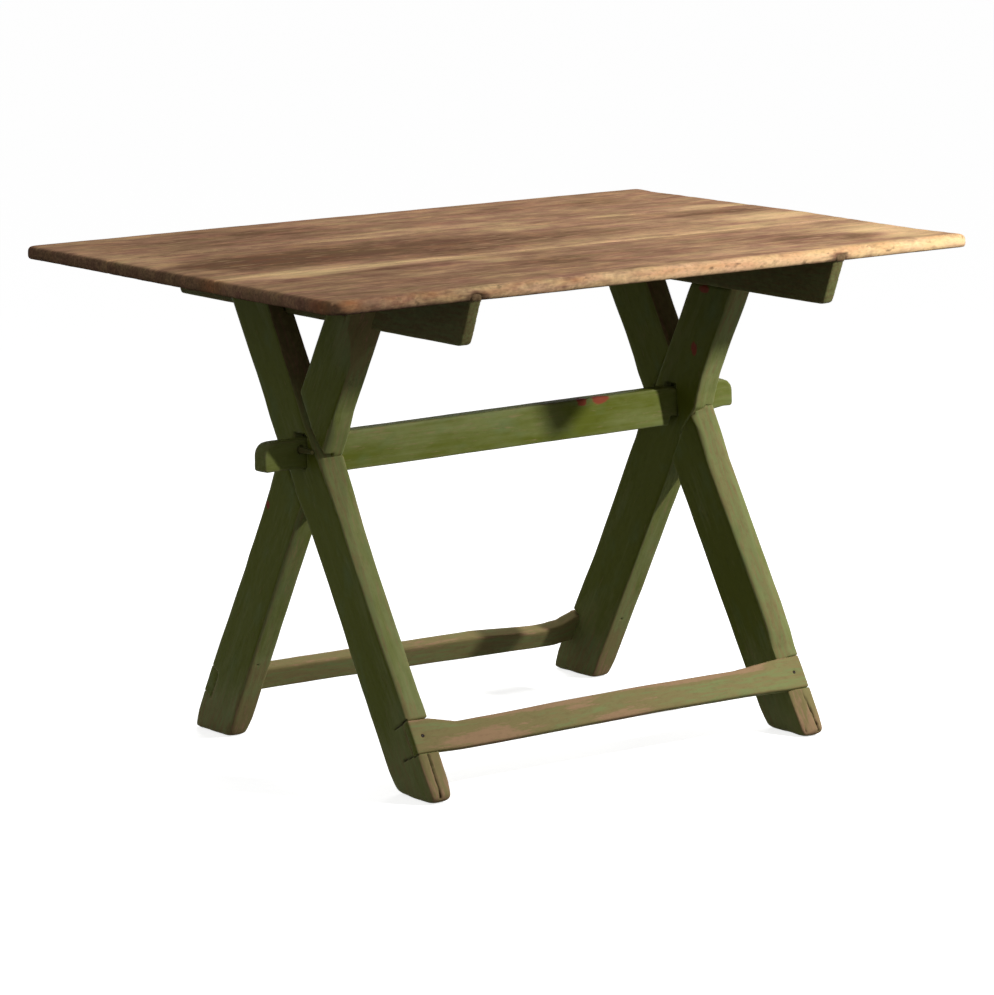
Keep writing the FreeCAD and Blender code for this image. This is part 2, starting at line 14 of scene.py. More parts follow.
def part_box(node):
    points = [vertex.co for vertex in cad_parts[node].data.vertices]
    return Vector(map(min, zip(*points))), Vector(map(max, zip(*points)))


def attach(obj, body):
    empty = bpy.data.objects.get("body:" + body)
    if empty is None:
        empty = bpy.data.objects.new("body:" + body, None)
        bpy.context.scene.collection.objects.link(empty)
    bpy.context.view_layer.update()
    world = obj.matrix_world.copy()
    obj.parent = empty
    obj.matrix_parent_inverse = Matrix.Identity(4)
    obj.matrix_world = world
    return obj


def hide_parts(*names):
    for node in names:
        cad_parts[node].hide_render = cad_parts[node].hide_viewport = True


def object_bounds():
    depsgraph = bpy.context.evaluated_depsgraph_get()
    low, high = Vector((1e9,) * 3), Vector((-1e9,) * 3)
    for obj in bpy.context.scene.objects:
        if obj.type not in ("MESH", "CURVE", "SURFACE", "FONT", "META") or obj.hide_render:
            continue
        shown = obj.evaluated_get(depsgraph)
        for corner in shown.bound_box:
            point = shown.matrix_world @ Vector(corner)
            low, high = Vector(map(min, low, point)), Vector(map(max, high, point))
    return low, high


bl_info = {
    "name": "Sawbuck table",
    "version": (1, 0, 0),
    "blender": (4, 5, 0),
    "location": "3D View > Sidebar > Table",
    "description": "Dresses the packed sawbuck table in worn pine and old green paint",
    "category": "Object",
}

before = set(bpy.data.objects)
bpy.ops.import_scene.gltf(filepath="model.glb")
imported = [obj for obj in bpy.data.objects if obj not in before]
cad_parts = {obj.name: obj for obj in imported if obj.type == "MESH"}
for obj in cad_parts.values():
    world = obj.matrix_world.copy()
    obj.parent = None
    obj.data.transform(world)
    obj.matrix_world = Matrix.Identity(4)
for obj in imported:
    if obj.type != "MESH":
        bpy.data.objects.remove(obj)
CAD_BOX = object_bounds()
MM = 0.001

SIDES = ("left", "right")
ENDS = ("front", "back")
LEGS = [(side, end) for side in SIDES for end in ENDS]

# Ways to look in the row frame.
LEFT, RIGHT, FRONT, DOWN = (-1, 0, 0), (1, 0, 0), (0, -1, 0), (0, 0, -1)
# The outside of the top, and the underside of its boards, in the row frame.
LEFT_END, RIGHT_END = CAD_BOX[0].x, CAD_BOX[1].x
FRONT_EDGE, TOP_FACE = CAD_BOX[0].y, CAD_BOX[1].z
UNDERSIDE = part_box("left_front_leg")[1].z
# Where a leg's middle stands on the floor and meets the boards, by the end that its foot is at.
FOOT_Y = {"front": -0.288, "back": 0.271}
HEAD_Y = {"front": 0.154, "back": -0.153}
CROSSING_Z = 0.468

# The first seed of each group of pieces. Noise of different seeds is read a step apart.
SEEDS = {"boards": 0, "battens": 20, "legs": 30, "centre_rail": 50, "foot_rails": 60, "pegs": 70}
SEED_STEP = 17.3
# Points of a CAD node closer than this are one point.
SAME_POINT = 1e-6
# What each point of a wooden piece keeps for its material. The wear also holds a little painted light, and
# the dirt some painted shade.
FINISHES = ("wear_and_light", "dirt_and_shade", "red")


def linear(code):
    """A linear colour with full alpha from an sRGB hex code."""
    channels = [int(code[place:place + 2], 16) / 255 for place in (1, 3, 5)]
    bright = [c / 12.92 if c <= 0.04045 else ((c + 0.055) / 1.055) ** 2.4 for c in channels]
    return (*bright, 1.0)


def colour(name, description, code):
    """A colour that a user may change."""
    return bpy.props.FloatVectorProperty(
        name=name, description=description, default=linear(code), size=4, min=0, max=1, subtype="COLOR")


def length(name, description, millimetres):
    """A length that a user may change."""
    return bpy.props.FloatProperty(
        name=name, description=description, default=millimetres * MM, min=0, unit="LENGTH")


def watts(name, description, power):
    """The power of a lamp, which a user may change."""
    return bpy.props.FloatProperty(name=name, description=description, default=power, min=0, unit="POWER")


def amount(name, description, value):
    """A plain amount that a user may change."""
    return bpy.props.FloatProperty(name=name, description=description, default=value, min=0)


def rounds(name, description, count):
    """A number of rounds of rubbing that a user may change."""
    return bpy.props.IntProperty(name=name, description=description, default=count, min=0)


class SAWBUCK_PG_wood(bpy.types.PropertyGroup):
    """Wear and colours of the bare boards."""

    mesh_size: length("Mesh size", "Distance between the points of a board", 3)
    edge_wear: rounds("Edge wear", "Rounds of rubbing that the edges have had", 6)
    ripple: length("Ripple", "Height of the planing marks on the boards", 0.5)
    waviness: length("Waviness", "How far the edges of the top wander", 3)
    nicks: length("Nicks", "Depth of the dents along the front edge", 4)
    pale: colour("Pale pine", "Pine scrubbed down to fresh wood", "#efca98")
    tan: colour("Tan pine", "Pine that is partly scrubbed", "#cfab82")
    brown: colour("Brown pine", "Pine browned by age", "#aa8569")
    dark: colour("Dark pine", "Old stains and late wood", "#7d5f49")
    grime: colour("Grime", "Dirt in splits, nicks and end grain", "#43362a")
    orange: colour("Orange pine", "Resin-rich wood along worn edges", "#bf7747")


class SAWBUCK_PG_paint(bpy.types.PropertyGroup):
    """Wear and colours of the painted trestles."""

    mesh_size: length("Mesh size", "Distance between the points of a painted piece", 2)
    edge_wear: rounds("Edge wear", "Rounds of rubbing that the edges have had", 5)
    foot_wear: rounds("Foot wear", "Further rounds of rubbing at the feet", 40)
    ripple: length("Ripple", "Height of the hewing marks", 0.6)
    light: colour("Light green", "Paint that is chalky and rubbed", "#90965f")
    deep: colour("Deep green", "Paint that is still whole", "#6a7127")
    sage: colour("Sage green", "Paint that has faded to a cooler green", "#73875a")
    taupe: colour("Taupe", "Thin paint with old dirt in it", "#988b5c")
    bare: colour("Bare wood", "Wood where the paint is gone", "#b3926f")
    grime: colour("Grime", "Dirt in splits, holes and corners", "#302410")
    red: colour("Red", "Older red paint below the green", "#9d4f37")


class SAWBUCK_PG_stage(bpy.types.PropertyGroup):
    """Light and floor."""

    key_power: watts("Key power", "Power of the main lamp", 28.6)
    key_size: length("Key size", "Width of the main lamp", 100)
    key_reach: length("Key distance", "Distance of the main lamp from the right batten", 1500)
    back_power: watts("Back power", "Power of the soft lamp behind the table", 38)
    back_size: length("Back size", "Width of the soft lamp behind the table", 1500)
    back_reach: length("Back distance", "Distance of the soft lamp from the middle of the top", 2600)
    fill: amount("Fill", "Strength of the light from all round", 0.22)
    floor_glow: amount("Floor glow", "How much the floor lightens its own shadow", 0.79)


def axes(along, across):
    """Matrix that takes row-frame points to a piece's own axes: along, across and through the grain."""
    along = Vector(along).normalized()
    across = Vector(across).normalized()
    return np.array([along, across, along.cross(across)])


def lean(end):
    """Slope of a leg, by the end that its foot is at."""
    return (HEAD_Y[end] - FOOT_Y[end]) / UNDERSIDE


def leg_axes(end):
    """Own axes of a leg: up along it, and to the back across it."""
    return axes((0, lean(end), 1), (0, 1, -lean(end)))


def foot_rail_axes(end):
    """Own axes of a foot rail: along the table, and up along the legs that carry it."""
    return axes((1, 0, 0), (0, lean(end), 1))


BOARD_AXES = axes((1, 0, 0), (0, 1, 0))
BATTEN_AXES = axes((0, 1, 0), (0, 0, 1))
RAIL_AXES = axes((1, 0, 0), (0, 0, 1))


def swell(points, size, seed):
    """Smooth noise from about -1 to 1. The size is the length of one swell along each axis."""
    places = points / np.array(size) + seed * SEED_STEP
    return np.array([noise.noise(place) for place in places])


def ramp(values, low, high):
    """Values taken from low to high onto 0 to 1."""
    return np.clip((values - low) / (high - low), 0, 1)


def near(points, centre, reach):
    """1 at a centre, falling smoothly to 0 at the reach along each axis."""
    distance = np.linalg.norm((points - np.array(centre)) / np.array(reach), axis=1)
    inside = np.clip(1 - distance, 0, 1)
    return inside ** 2 * (3 - 2 * inside)


def patched(placed, patches):
    """How strongly a list of patches shows at each point."""
    total = np.zeros(len(placed))
    for centre, reach, strength in patches:
        total = np.maximum(total, strength * near(placed, centre, reach))
    return total


def round_corner(first, second, corner, radius):
    """Round one square corner of an outline, by drawing in the points near it. Returns both coordinates.

    The corner is the lowest or highest place of each coordinate, and a radius below 0 means the highest.
    """
    middles = [place + r for place, r in zip(corner, radius)]
    outward = [(middle - values) * np.sign(r) for values, middle, r in zip((first, second), middles, radius)]
    beyond = (outward[0] > 0) & (outward[1] > 0)
    shrink = np.ones(len(first))
    shrink[beyond] = np.maximum(*outward)[beyond] / np.hypot(*outward)[beyond]
    return [middle + (values - middle) * shrink for values, middle in zip((first, second), middles)]


def new_object(name, data):
    """A new object in the scene."""
    made = bpy.data.objects.new(name, data)
    bpy.context.scene.collection.objects.link(made)
    return made


def plain_mesh(carrier):
    """What an object's modifiers make of it, as a plain mesh. The object is removed."""
    depsgraph = bpy.context.evaluated_depsgraph_get()
    mesh = bpy.data.meshes.new_from_object(carrier.evaluated_get(depsgraph))
    bpy.data.objects.remove(carrier)
    return mesh


def merged_copy(node):
    """A CAD node's mesh, copied for editing with its doubled points merged."""
    bm = bmesh.new()
    bm.from_mesh(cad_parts[node].data)
    bmesh.ops.remove_doubles(bm, verts=bm.verts, dist=SAME_POINT)
    return bm


def keep_largest(mesh):
    """Delete all but the largest connected part of a mesh."""
    bm = bmesh.new()
    bm.from_mesh(mesh)
    waiting = set(bm.verts)
    parts = []
    while waiting:
        part = {waiting.pop()}
        edge_of_part = list(part)
        while edge_of_part:
            vert = edge_of_part.pop()
            found = {edge.other_vert(vert) for edge in vert.link_edges} & waiting
            waiting -= found
            part |= found
            edge_of_part.extend(found)
        parts.append(part)
    largest = max(parts, key=len)
    spare = [vert for vert in bm.verts if vert not in largest]
    bmesh.ops.delete(bm, geom=spare, context="VERTS")
    bm.to_mesh(mesh)
    bm.free()


def even_copy(node, own, voxel):
    """A CAD node's mesh in its own axes, with its points spread evenly."""
    rough = bpy.data.meshes.new(node + "_rough")
    bm = merged_copy(node)
    bm.transform(Matrix(own).to_4x4())
    bm.to_mesh(rough)
    bm.free()
    carrier = new_object(node + "_rough", rough)
    remesh = carrier.modifiers.new("Even mesh", "REMESH")
    remesh.mode = "VOXEL"
    remesh.voxel_size = voxel
    mesh = plain_mesh(carrier)
    bpy.data.meshes.remove(rough)
    keep_largest(mesh)
    return mesh


def read_all(items, name, width, kind=float):
    """One property of all the points or edges of a mesh, with a row for each."""
    values = np.zeros(len(items) * width, dtype=kind)
    items.foreach_get(name, values)
    return values.reshape(-1, width)


class Timber:
    """A wooden piece while it is shaped. Its points are in its own axes."""

    def __init__(self, node, own, voxel):
        self.node = node
        self.own = own
        self.mesh = even_copy(node, own, voxel)
        self.points = read_all(self.mesh.vertices, "co", 3)
        self.normals = read_all(self.mesh.vertices, "normal", 3)
        self.edges = read_all(self.mesh.edges, "vertices", 2, int)
        self.rest = self.points.copy()
        self.low = self.points.min(0)
        self.high = self.points.max(0)
        self.wear_and_light = np.zeros(len(self.points))
        self.dirt_and_shade = np.zeros(len(self.points))
        self.red = np.zeros(len(self.points))

    def placed(self):
        """The points in the row frame."""
        return self.points @ self.own

    def place(self, placed):
        """Set the points from the row frame."""
        self.points = placed @ self.own.T

    def facing(self):
        """The normals in the row frame, before any shaping."""
        return self.normals @ self.own

    def looks(self, way, start=0.3, full=0.8):
        """1 where the surface looks a way in the row frame, and 0 where it looks elsewhere."""
        return ramp(self.facing() @ np.array(way), start, full)

    def push(self, distance):
        """Move each point outwards by its distance."""
        self.points += self.normals * distance[:, None]

    def smoothed(self, steps):
        """The points after moving each to the middle of its neighbours, a number of times."""
        count = len(self.points)
        first, second = self.edges.T
        shares = np.bincount(self.edges.ravel(), minlength=count)
        points = self.points
        for _ in range(steps):
            columns = []
            for column in points.T:
                total = np.bincount(first, column[second], count) + np.bincount(second, column[first], count)
                columns.append(total / shares)
            points = np.stack(columns, axis=1)
        return points


def rub_edges(timber, steps, seed, where=1.0):
    """Wear the edges round, unevenly. Returns how far each point has worn, 0 to 1."""
    full_wear = 1.2 * MM
    patch = (0.06, 0.03, 0.03)
    uneven = np.clip(0.75 + 0.5 * swell(timber.rest, patch, seed), 0.2, 1) * where
    rubbed = timber.smoothed(steps)
    taken = ((timber.points - rubbed) * timber.normals).sum(1)
    timber.points += (rubbed - timber.points) * uneven[:, None]
    return np.clip(taken / full_wear, 0, 1)


def hew(timber, depth, seed):
    """Leave the low ripples of hand tools along the grain."""
    long_wave = swell(timber.rest, (0.16, 0.03, 0.03), seed)
    short_wave = swell(timber.rest, (0.03, 0.007, 0.007), seed + 1)
    timber.push(depth * (0.8 * long_wave + 0.35 * short_wave))


def split(timber, start, end):
    """Open a narrow split, saw kerf or nail hole between two points on a face, in the row frame."""
    width, depth, same_face = 1.9 * MM, 3.5 * MM, 15 * MM
    wander_size, wander_seed = (0.012, 0.012, 0.012), 40
    start, end = np.array(start), np.array(end)
    placed, facing = timber.placed(), timber.facing()
    run = end - start
    share = np.clip((placed - start) @ run / (run @ run), 0, 1)
    offset = placed - start - share[:, None] * run
    off_surface = (offset * facing).sum(1)
    distance = np.linalg.norm(offset - off_surface[:, None] * facing, axis=1)
    distance += 0.4 * width * swell(timber.rest, wander_size, wander_seed)
    inside = np.clip(1 - distance / width, 0, 1) * (abs(off_surface) < same_face)
    timber.push(-depth * inside)
    timber.dirt_and_shade = np.maximum(timber.dirt_and_shade, np.clip(inside * 2, 0, 1))


def hang(name, mesh, node, body):
    """Put a finished mesh in the place of its CAD node, on its body."""
    piece = new_object(name, mesh)
    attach(piece, body)
    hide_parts(node)


def finish_timber(timber, material, body="table"):
    """Write the shape and the finish of a piece into its mesh, and hang it on its body."""
    mesh = timber.mesh
    mesh.vertices.foreach_set("co", timber.placed().astype(np.float32).ravel())
    grain = mesh.attributes.new("grain", "FLOAT_VECTOR", "POINT")
    grain.data.foreach_set("vector", timber.rest.astype(np.float32).ravel())
    for name in FINISHES:
        attribute = mesh.attributes.new(name, "FLOAT", "POINT")
        attribute.data.foreach_set("value", getattr(timber, name).astype(np.float32))
    mesh.materials.clear()
    mesh.materials.append(material)
    mesh.shade_smooth()
    mesh.update()
    worn_name = "worn_" + timber.node
    mesh.name = worn_name
    hang(worn_name, mesh, timber.node, body)


def add_node(tree, kind, inputs=None, **settings):
    """Add a node. Its settings are its properties. Its inputs are values, or sockets and nodes to link."""
    node = tree.nodes.new(kind)
    for name, value in settings.items():
        setattr(node, name, value)
    for key, value in (inputs or {}).items():
        named = [socket for socket in node.inputs if socket.enabled and socket.name == key]
        socket = named[0] if named else node.inputs[key]
        if isinstance(value, bpy.types.Node):
            value = next(output for output in value.outputs if output.enabled)
        if isinstance(value, bpy.types.NodeSocket):
            tree.links.new(value, socket)
        else:
            socket.default_value = value
    return node


def set_stops(stops, places):
    """Give the stops of a colour ramp their places and colours, from low to high."""
    first, *middle, last = places
    for stop, (place, shade) in zip(stops, (first, last)):
        stop.position = place
        stop.color = shade
    for place, shade in middle:
        stops.new(place).color = shade


def new_material(name):
    """An empty material and its node tree."""
    material = bpy.data.materials.new(name)
    material.use_nodes = True
    material.node_tree.nodes.clear()
    return material, material.node_tree


def read_finish(tree):
    """The finishes that a piece keeps at each point."""
    outputs = {}
    for name in FINISHES:
        outputs[name] = add_node(tree, "ShaderNodeAttribute", attribute_name=name).outputs["Fac"]
    return outputs


def grain_patterns(tree, patterns):
    """Noises drawn out along the grain, each with a size in mm along, across and through it."""
    grain = add_node(tree, "ShaderNodeAttribute", attribute_name="grain").outputs["Vector"]
    noises = {}
    for name, (size, detail, roughness) in patterns.items():
        per_metre = tuple(1 / (span * MM) for span in size)
        place = add_node(tree, "ShaderNodeVectorMath", {0: grain, 1: per_metre}, operation="MULTIPLY")
        noises[name] = add_node(tree, "ShaderNodeTexNoise", {
            "Vector": place, "Scale": 1.0, "Detail": detail, "Roughness": roughness})
    return noises


def weigh(tree, start, noises, weights):
    """A finish with noises added to it, brought back to the range from 0 to 1."""
    total = start
    for name, weight in weights.items():
        total = add_node(
            tree, "ShaderNodeMath", {0: noises[name], 1: weight, 2: total}, operation="MULTIPLY_ADD")
    # A noise is 0.5 on average.
    middle = sum(weights.values()) / 2
    return add_node(tree, "ShaderNodeMapRange", {"Value": total, "From Min": middle, "From Max": middle + 1})


# Each pattern's size in mm along, across and through the grain, its detail and its roughness. Fibres and
# brush marks are drawn coarser than they are, because they would be too fine to show.
PINE_PATTERNS = {
    "rings": ((380, 16, 16), 4.0, 0.6),
    "fibres": ((60, 5, 5), 3.0, 0.7),
    "mottle": ((48, 26, 26), 3.0, 0.6),
    "stains": ((150, 45, 45), 4.0, 0.6),
    "flecks": ((42, 9, 9), 2.0, 0.5),
    "tint": ((90, 30, 30), 3.0, 0.6),
    "pits": ((7, 4, 4), 2.0, 0.5),
}
PAINT_PATTERNS = {
    "patches": ((160, 50, 50), 4.0, 0.6),
    "fading": ((70, 40, 40), 3.0, 0.5),
    "brushing": ((140, 5, 5), 3.0, 0.6),
    "flakes": ((34, 4, 4), 5.0, 0.7),
    "specks": ((9, 6, 6), 3.0, 0.6),
}


def make_pine(name, settings):
    """Scrubbed old pine: brown with age, mottled along the grain, dry and pale where it is rubbed."""
    material, tree = new_material(name)
    finish = read_finish(tree)
    noises = grain_patterns(tree, PINE_PATTERNS)
    tone = weigh(tree, finish["wear_and_light"], noises, {"rings": 0.4, "fibres": 0.75, "mottle": 0.75, "stains": 0.5})
    wood = add_node(tree, "ShaderNodeValToRGB", {"Fac": tone})
    set_stops(wood.color_ramp.elements, [
        (0.08, tuple(settings.dark)), (0.45, tuple(settings.brown)),
        (0.7, tuple(settings.tan)), (0.95, tuple(settings.pale))])
    # Some of the wood is rosier or yellower than the rest.
    hue = add_node(tree, "ShaderNodeMapRange", {
        "Value": noises["tint"], "From Min": 0.3, "From Max": 0.7, "To Min": 0.485, "To Max": 0.515})
    base = add_node(tree, "ShaderNodeHueSaturation", {"Hue": hue, "Color": wood})
    torn = add_node(tree, "ShaderNodeMapRange", {
        "Value": noises["flecks"], "From Min": 0.6, "From Max": 0.72, "To Max": 0.55})
    glow = weigh(tree, finish["red"], noises, {"fibres": 0.6, "mottle": 0.8})
    # The grime also lays painted shade on the lower front edge of the top.
    soil_and_shade = weigh(tree, finish["dirt_and_shade"], noises, {"mottle": 0.3, "pits": 1.0})
    for share, shade in ((torn, settings.tan), (glow, settings.orange), (soil_and_shade, settings.grime)):
        base = add_node(
            tree, "ShaderNodeMix", {"Factor": share, "A": base, "B": tuple(shade)}, data_type="RGBA")

    rough = add_node(tree, "ShaderNodeMapRange", {"Value": tone, "To Min": 0.5, "To Max": 0.75})
    relief = weigh(tree, noises["rings"], noises, {"fibres": 1.0})
    bump = add_node(tree, "ShaderNodeBump", {"Height": relief, "Strength": 0.5, "Distance": 0.8 * MM})
    # Dry scrubbed wood has no gloss, even where it is seen at a low angle.
    shader = add_node(tree, "ShaderNodeBsdfPrincipled", {
        "Base Color": base, "Roughness": rough, "Normal": bump, "Specular IOR Level": 0.0})
    add_node(tree, "ShaderNodeOutputMaterial", {"Surface": shader})
    return material


def make_paint(name, settings):
    """Old linseed oil paint on pine: matt moss green, dirty where it is thin, and bare where it is gone."""
    material, tree = new_material(name)
    finish = read_finish(tree)
    noises = grain_patterns(tree, PAINT_PATTERNS)
    rubbed = weigh(tree, finish["wear_and_light"], noises, {"patches": 0.5, "brushing": 0.15})
    chalky = add_node(tree, "ShaderNodeMapRange", {"Value": rubbed, "From Min": 0.05, "From Max": 0.25})
    faded = add_node(tree, "ShaderNodeMapRange", {
        "Value": noises["fading"], "From Min": 0.55, "From Max": 0.9, "To Max": 0.7})
    thin = weigh(tree, finish["wear_and_light"], noises, {"patches": 0.4, "flakes": 1.5})
    dirty = add_node(tree, "ShaderNodeMapRange", {"Value": thin, "From Min": 0.22, "From Max": 0.45})
    old_wood = add_node(tree, "ShaderNodeValToRGB", {"Fac": thin})
    set_stops(old_wood.color_ramp.elements, [(0.62, tuple(settings.taupe)), (0.8, tuple(settings.bare))])
    older = weigh(tree, finish["red"], noises, {"flakes": 0.8})
    red = add_node(tree, "ShaderNodeMapRange", {"Value": older, "From Min": 0.25, "From Max": 0.5})
    # The grime also lays painted shade on the pegs and on the heads of the front legs.
    soil_and_shade = weigh(tree, finish["dirt_and_shade"], noises, {"flakes": 0.3, "specks": 0.5})
    coats = [
        (chalky, tuple(settings.light)), (faded, tuple(settings.sage)), (dirty, old_wood),
        (red, tuple(settings.red)), (soil_and_shade, tuple(settings.grime)),
    ]
    base = tuple(settings.deep)
    for share, coat in coats:
        base = add_node(tree, "ShaderNodeMix", {"Factor": share, "A": base, "B": coat}, data_type="RGBA")

    rough = add_node(tree, "ShaderNodeMapRange", {"Value": thin, "To Min": 0.5, "To Max": 0.8})
    relief = add_node(tree, "ShaderNodeMath", {0: noises["brushing"], 1: thin}, operation="SUBTRACT")
    bump = add_node(tree, "ShaderNodeBump", {"Height": relief, "Strength": 0.4, "Distance": 0.3 * MM})
    # The paint is chalky and has hardly any gloss left.
    shader = add_node(tree, "ShaderNodeBsdfPrincipled", {
        "Base Color": base, "Roughness": rough, "Normal": bump, "Specular IOR Level": 0.05})
    add_node(tree, "ShaderNodeOutputMaterial", {"Surface": shader})
    return material


def make_iron():
    """Hand-forged iron: nearly black scale with brown rust in patches."""
    material, tree = new_material("Rusty forged iron")
    place = add_node(tree, "ShaderNodeTexCoord").outputs["Object"]
    rust_size = 3 * MM
    rust = add_node(tree, "ShaderNodeTexNoise", {"Vector": place, "Scale": 1 / rust_size, "Detail": 4.0})
    rusted = add_node(tree, "ShaderNodeMapRange", {"Value": rust, "From Min": 0.4, "From Max": 0.6})
    base = add_node(tree, "ShaderNodeMix", {
        "Factor": rusted, "A": linear("#1c1815"), "B": linear("#4a2f1e")}, data_type="RGBA")
    rough = add_node(tree, "ShaderNodeMapRange", {"Value": rusted, "To Min": 0.45, "To Max": 0.85})
    shader = add_node(tree, "ShaderNodeBsdfPrincipled", {
        "Base Color": base, "Roughness": rough, "Metallic": 0.6})
    add_node(tree, "ShaderNodeOutputMaterial", {"Surface": shader})
    return material


def shared_material(name, make, settings):
    """A material that several pieces share, made when it is first asked for."""
    return bpy.data.materials.get(name) or make(name, settings)


def pine(context):
    """The finish of the boards."""
    return shared_material("Scrubbed old pine", make_pine, context.scene.sawbuck_wood)


def paint(context):
    """The finish of the trestles."""
    return shared_material("Old green oil paint on pine", make_paint, context.scene.sawbuck_paint)


# The joints between the boards of the top: their ends in the row frame.
BACK_JOINT = ((LEFT_END, 0.184), (RIGHT_END, 0.104))
FRONT_JOINT = ((LEFT_END, -0.112), (RIGHT_END, -0.145))
# Patches of the top that are scrubbed pale, or stained dark where the strength is below 0: their middle and
# their reach along and across the boards, in mm.
TOP_PATCHES = [
    ((-300, 20), (380, 330), -0.08),
    ((250, 60), (380, 420), 0.07),
    ((-45, 168), (300, 55), 0.24),
    ((475, 118), (120, 42), 0.35),
    ((-415, -122), (260, 70), 0.5),
    ((-190, -134), (190, 30), 0.35),
    ((225, -118), (460, 60), 0.22),
    ((480, -45), (120, 70), 0.42),
    ((505, -305), (110, 150), 0.45),
    ((-530, 130), (60, 320), 0.22),
    ((120, 100), (80, 55), 0.2),
    ((190, -355), (200, 60), 0.18),
    ((-285, -270), (95, 60), 0.12),
    ((-140, -195), (70, 26), 0.25),
    ((430, -150), (180, 330), 0.12),
    ((-350, 15), (250, 130), -0.46),
    ((-90, 15), (230, 150), -0.28),
    ((120, -20), (150, 55), -0.25),
    ((-240, 290), (240, 130), -0.22),
    ((395, 290), (110, 75), -0.26),
    ((450, 55), (130, 60), -0.34),
    ((-90, -260), (140, 85), -0.25),
    ((-330, -172), (200, 34), -0.25),
    ((330, -285), (110, 75), -0.3),
    ((410, -340), (60, 48), -0.34),
    ((210, 305), (120, 50), -0.18),
    ((100, -280), (80, 55), -0.18),
]
# How pale the top is outside these patches.
PLAIN_TONE = 0.42
# Ruddy stains on the left end and the left front corner of the top: place and reach, and how strong.
RUDDY_PATCHES = [
    ((LEFT_END, -0.110, 0.735), (0.02, 0.05, 0.03), 0.5),
    ((LEFT_END, -0.390, 0.735), (0.02, 0.04, 0.02), 0.5),
    ((-0.530, FRONT_EDGE, 0.738), (0.04, 0.02, 0.012), 0.5),
]
# Where the front edge is chipped and dirty round the ends of the battens: place and reach, and how strong.
BATTEN_CHIPS = [
    ((-0.318, FRONT_EDGE, 0.729), (0.026, 0.020, 0.014), 0.8),
    ((0.318, FRONT_EDGE, 0.730), (0.030, 0.020, 0.016), 0.8),
]
# How far the right end and the back edge of the top stand out from their plain place, in mm: on the end at
# places across the table, and on the edge at places along it.
RIGHT_END_DRIFT = ((-0.419, -0.32, -0.2, -0.02, 0.15, 0.28, 0.36, 0.419), (1, -8, -5, 4, 0, -3, -6, 4))
BACK_EDGE_DRIFT = ((-0.56, -0.2, 0.2, 0.56), (1, -2, -10, -14))
# Between these places the drift of the end, and that of the edge, grows from none to all of it.
RIGHT_END_GROWTH = (0.40, 0.55)
BACK_EDGE_GROWTH = (0.25, 0.41)
# The front edge turns pale between these places along the table, and the left end turns clean between
# these places across it.
PALE_EDGE = (-0.45, 0.0)
CLEAN_END = (0.1, -0.25)
# The boards take their grain from the same pattern, this far apart.
GRAIN_STEP = 0.7


def bend_top(placed, waviness):
    """Let the edges and joints of the top wander as one sheet."""
    placed = placed.copy()
    flat = placed * np.array([1, 1, 0])
    at_right = ramp(placed[:, 0], *RIGHT_END_GROWTH)
    at_back = ramp(placed[:, 1], *BACK_EDGE_GROWTH)
    inside = 1 - np.maximum(at_right, at_back)
    placed[:, 0] += at_right * np.interp(flat[:, 1], *RIGHT_END_DRIFT) * MM
    placed[:, 1] += at_back * np.interp(flat[:, 0], *BACK_EDGE_DRIFT) * MM
    placed[:, 0] += inside * waviness * swell(flat, (0.5, 0.16, 1), 3)
    placed[:, 1] += inside * waviness * swell(flat, (0.22, 0.5, 1), 4)
    return placed


def joint_line(placed, joint, width):
    """1 on a joint between two boards, fading to 0 at a width from it."""
    line = np.interp(placed[:, 0], *zip(*joint))
    return ramp(abs(placed[:, 1] - line), width, 0)


def top_tone(placed):
    """How pale the top is at each point: 0 is stained dark, and 1 is scrubbed to fresh wood."""
    pale_width = 10 * MM
    flat = placed * np.array([1, 1, 0])
    spots = flat[:, :2].copy()
    spots[:, 0] += 0.04 * swell(flat, (0.12, 0.05, 1), 5)
    spots[:, 1] += 0.02 * swell(flat, (0.1, 0.04, 1), 6)
    tone = np.full(len(placed), PLAIN_TONE)
    for centre, reach, strength in TOP_PATCHES:
        tone += strength * near(spots, np.array(centre) * MM, np.array(reach) * MM)
    broken = np.clip(0.6 + 0.9 * swell(placed, (0.12, 0.3, 1), 7), 0, 1)
    for joint, strength in ((FRONT_JOINT, 0.32), (BACK_JOINT, 0.2)):
        tone += strength * broken * joint_line(placed, joint, pale_width)
    return tone


def round_front(timber):
    """Round the front edge of the top and its left front corner."""
    upper, lower, corner = 9 * MM, 5 * MM, 30 * MM
    placed = timber.placed()
    low, high = placed.min(0), placed.max(0)
    roundings = [
        (1, 2, (low[1], high[2]), (upper, -upper)),
        (1, 2, (low[1], low[2]), (lower, lower)),
        (0, 1, (low[0], low[1]), (corner, corner)),
    ]
    for first, second, place, radius in roundings:
        rounded = round_corner(placed[:, first], placed[:, second], place, radius)
        placed[:, first], placed[:, second] = rounded
    timber.place(placed)


def nick_front(timber, depth):
    """Dent the upper front edge of the top. Returns where the dents are, 0 to 1."""
    edge_reach, face_reach, full = 14 * MM, 12 * MM, 3 * MM
    inward = np.array([0, 0.7, -0.7])
    placed = timber.placed()
    at_edge = ramp(placed[:, 1] - placed[:, 1].min(), edge_reach, full)
    upper = ramp(placed[:, 2].max() - placed[:, 2], face_reach, full)
    rough = swell(placed, (0.05, 0.03, 0.02), 9) + 0.6 * swell(placed, (0.012, 0.012, 0.012), 10)
    dents = np.clip(1.3 * rough - 0.3, 0, 1) * at_edge * upper
    timber.place(placed + np.outer(depth * dents, inward))
    return dents


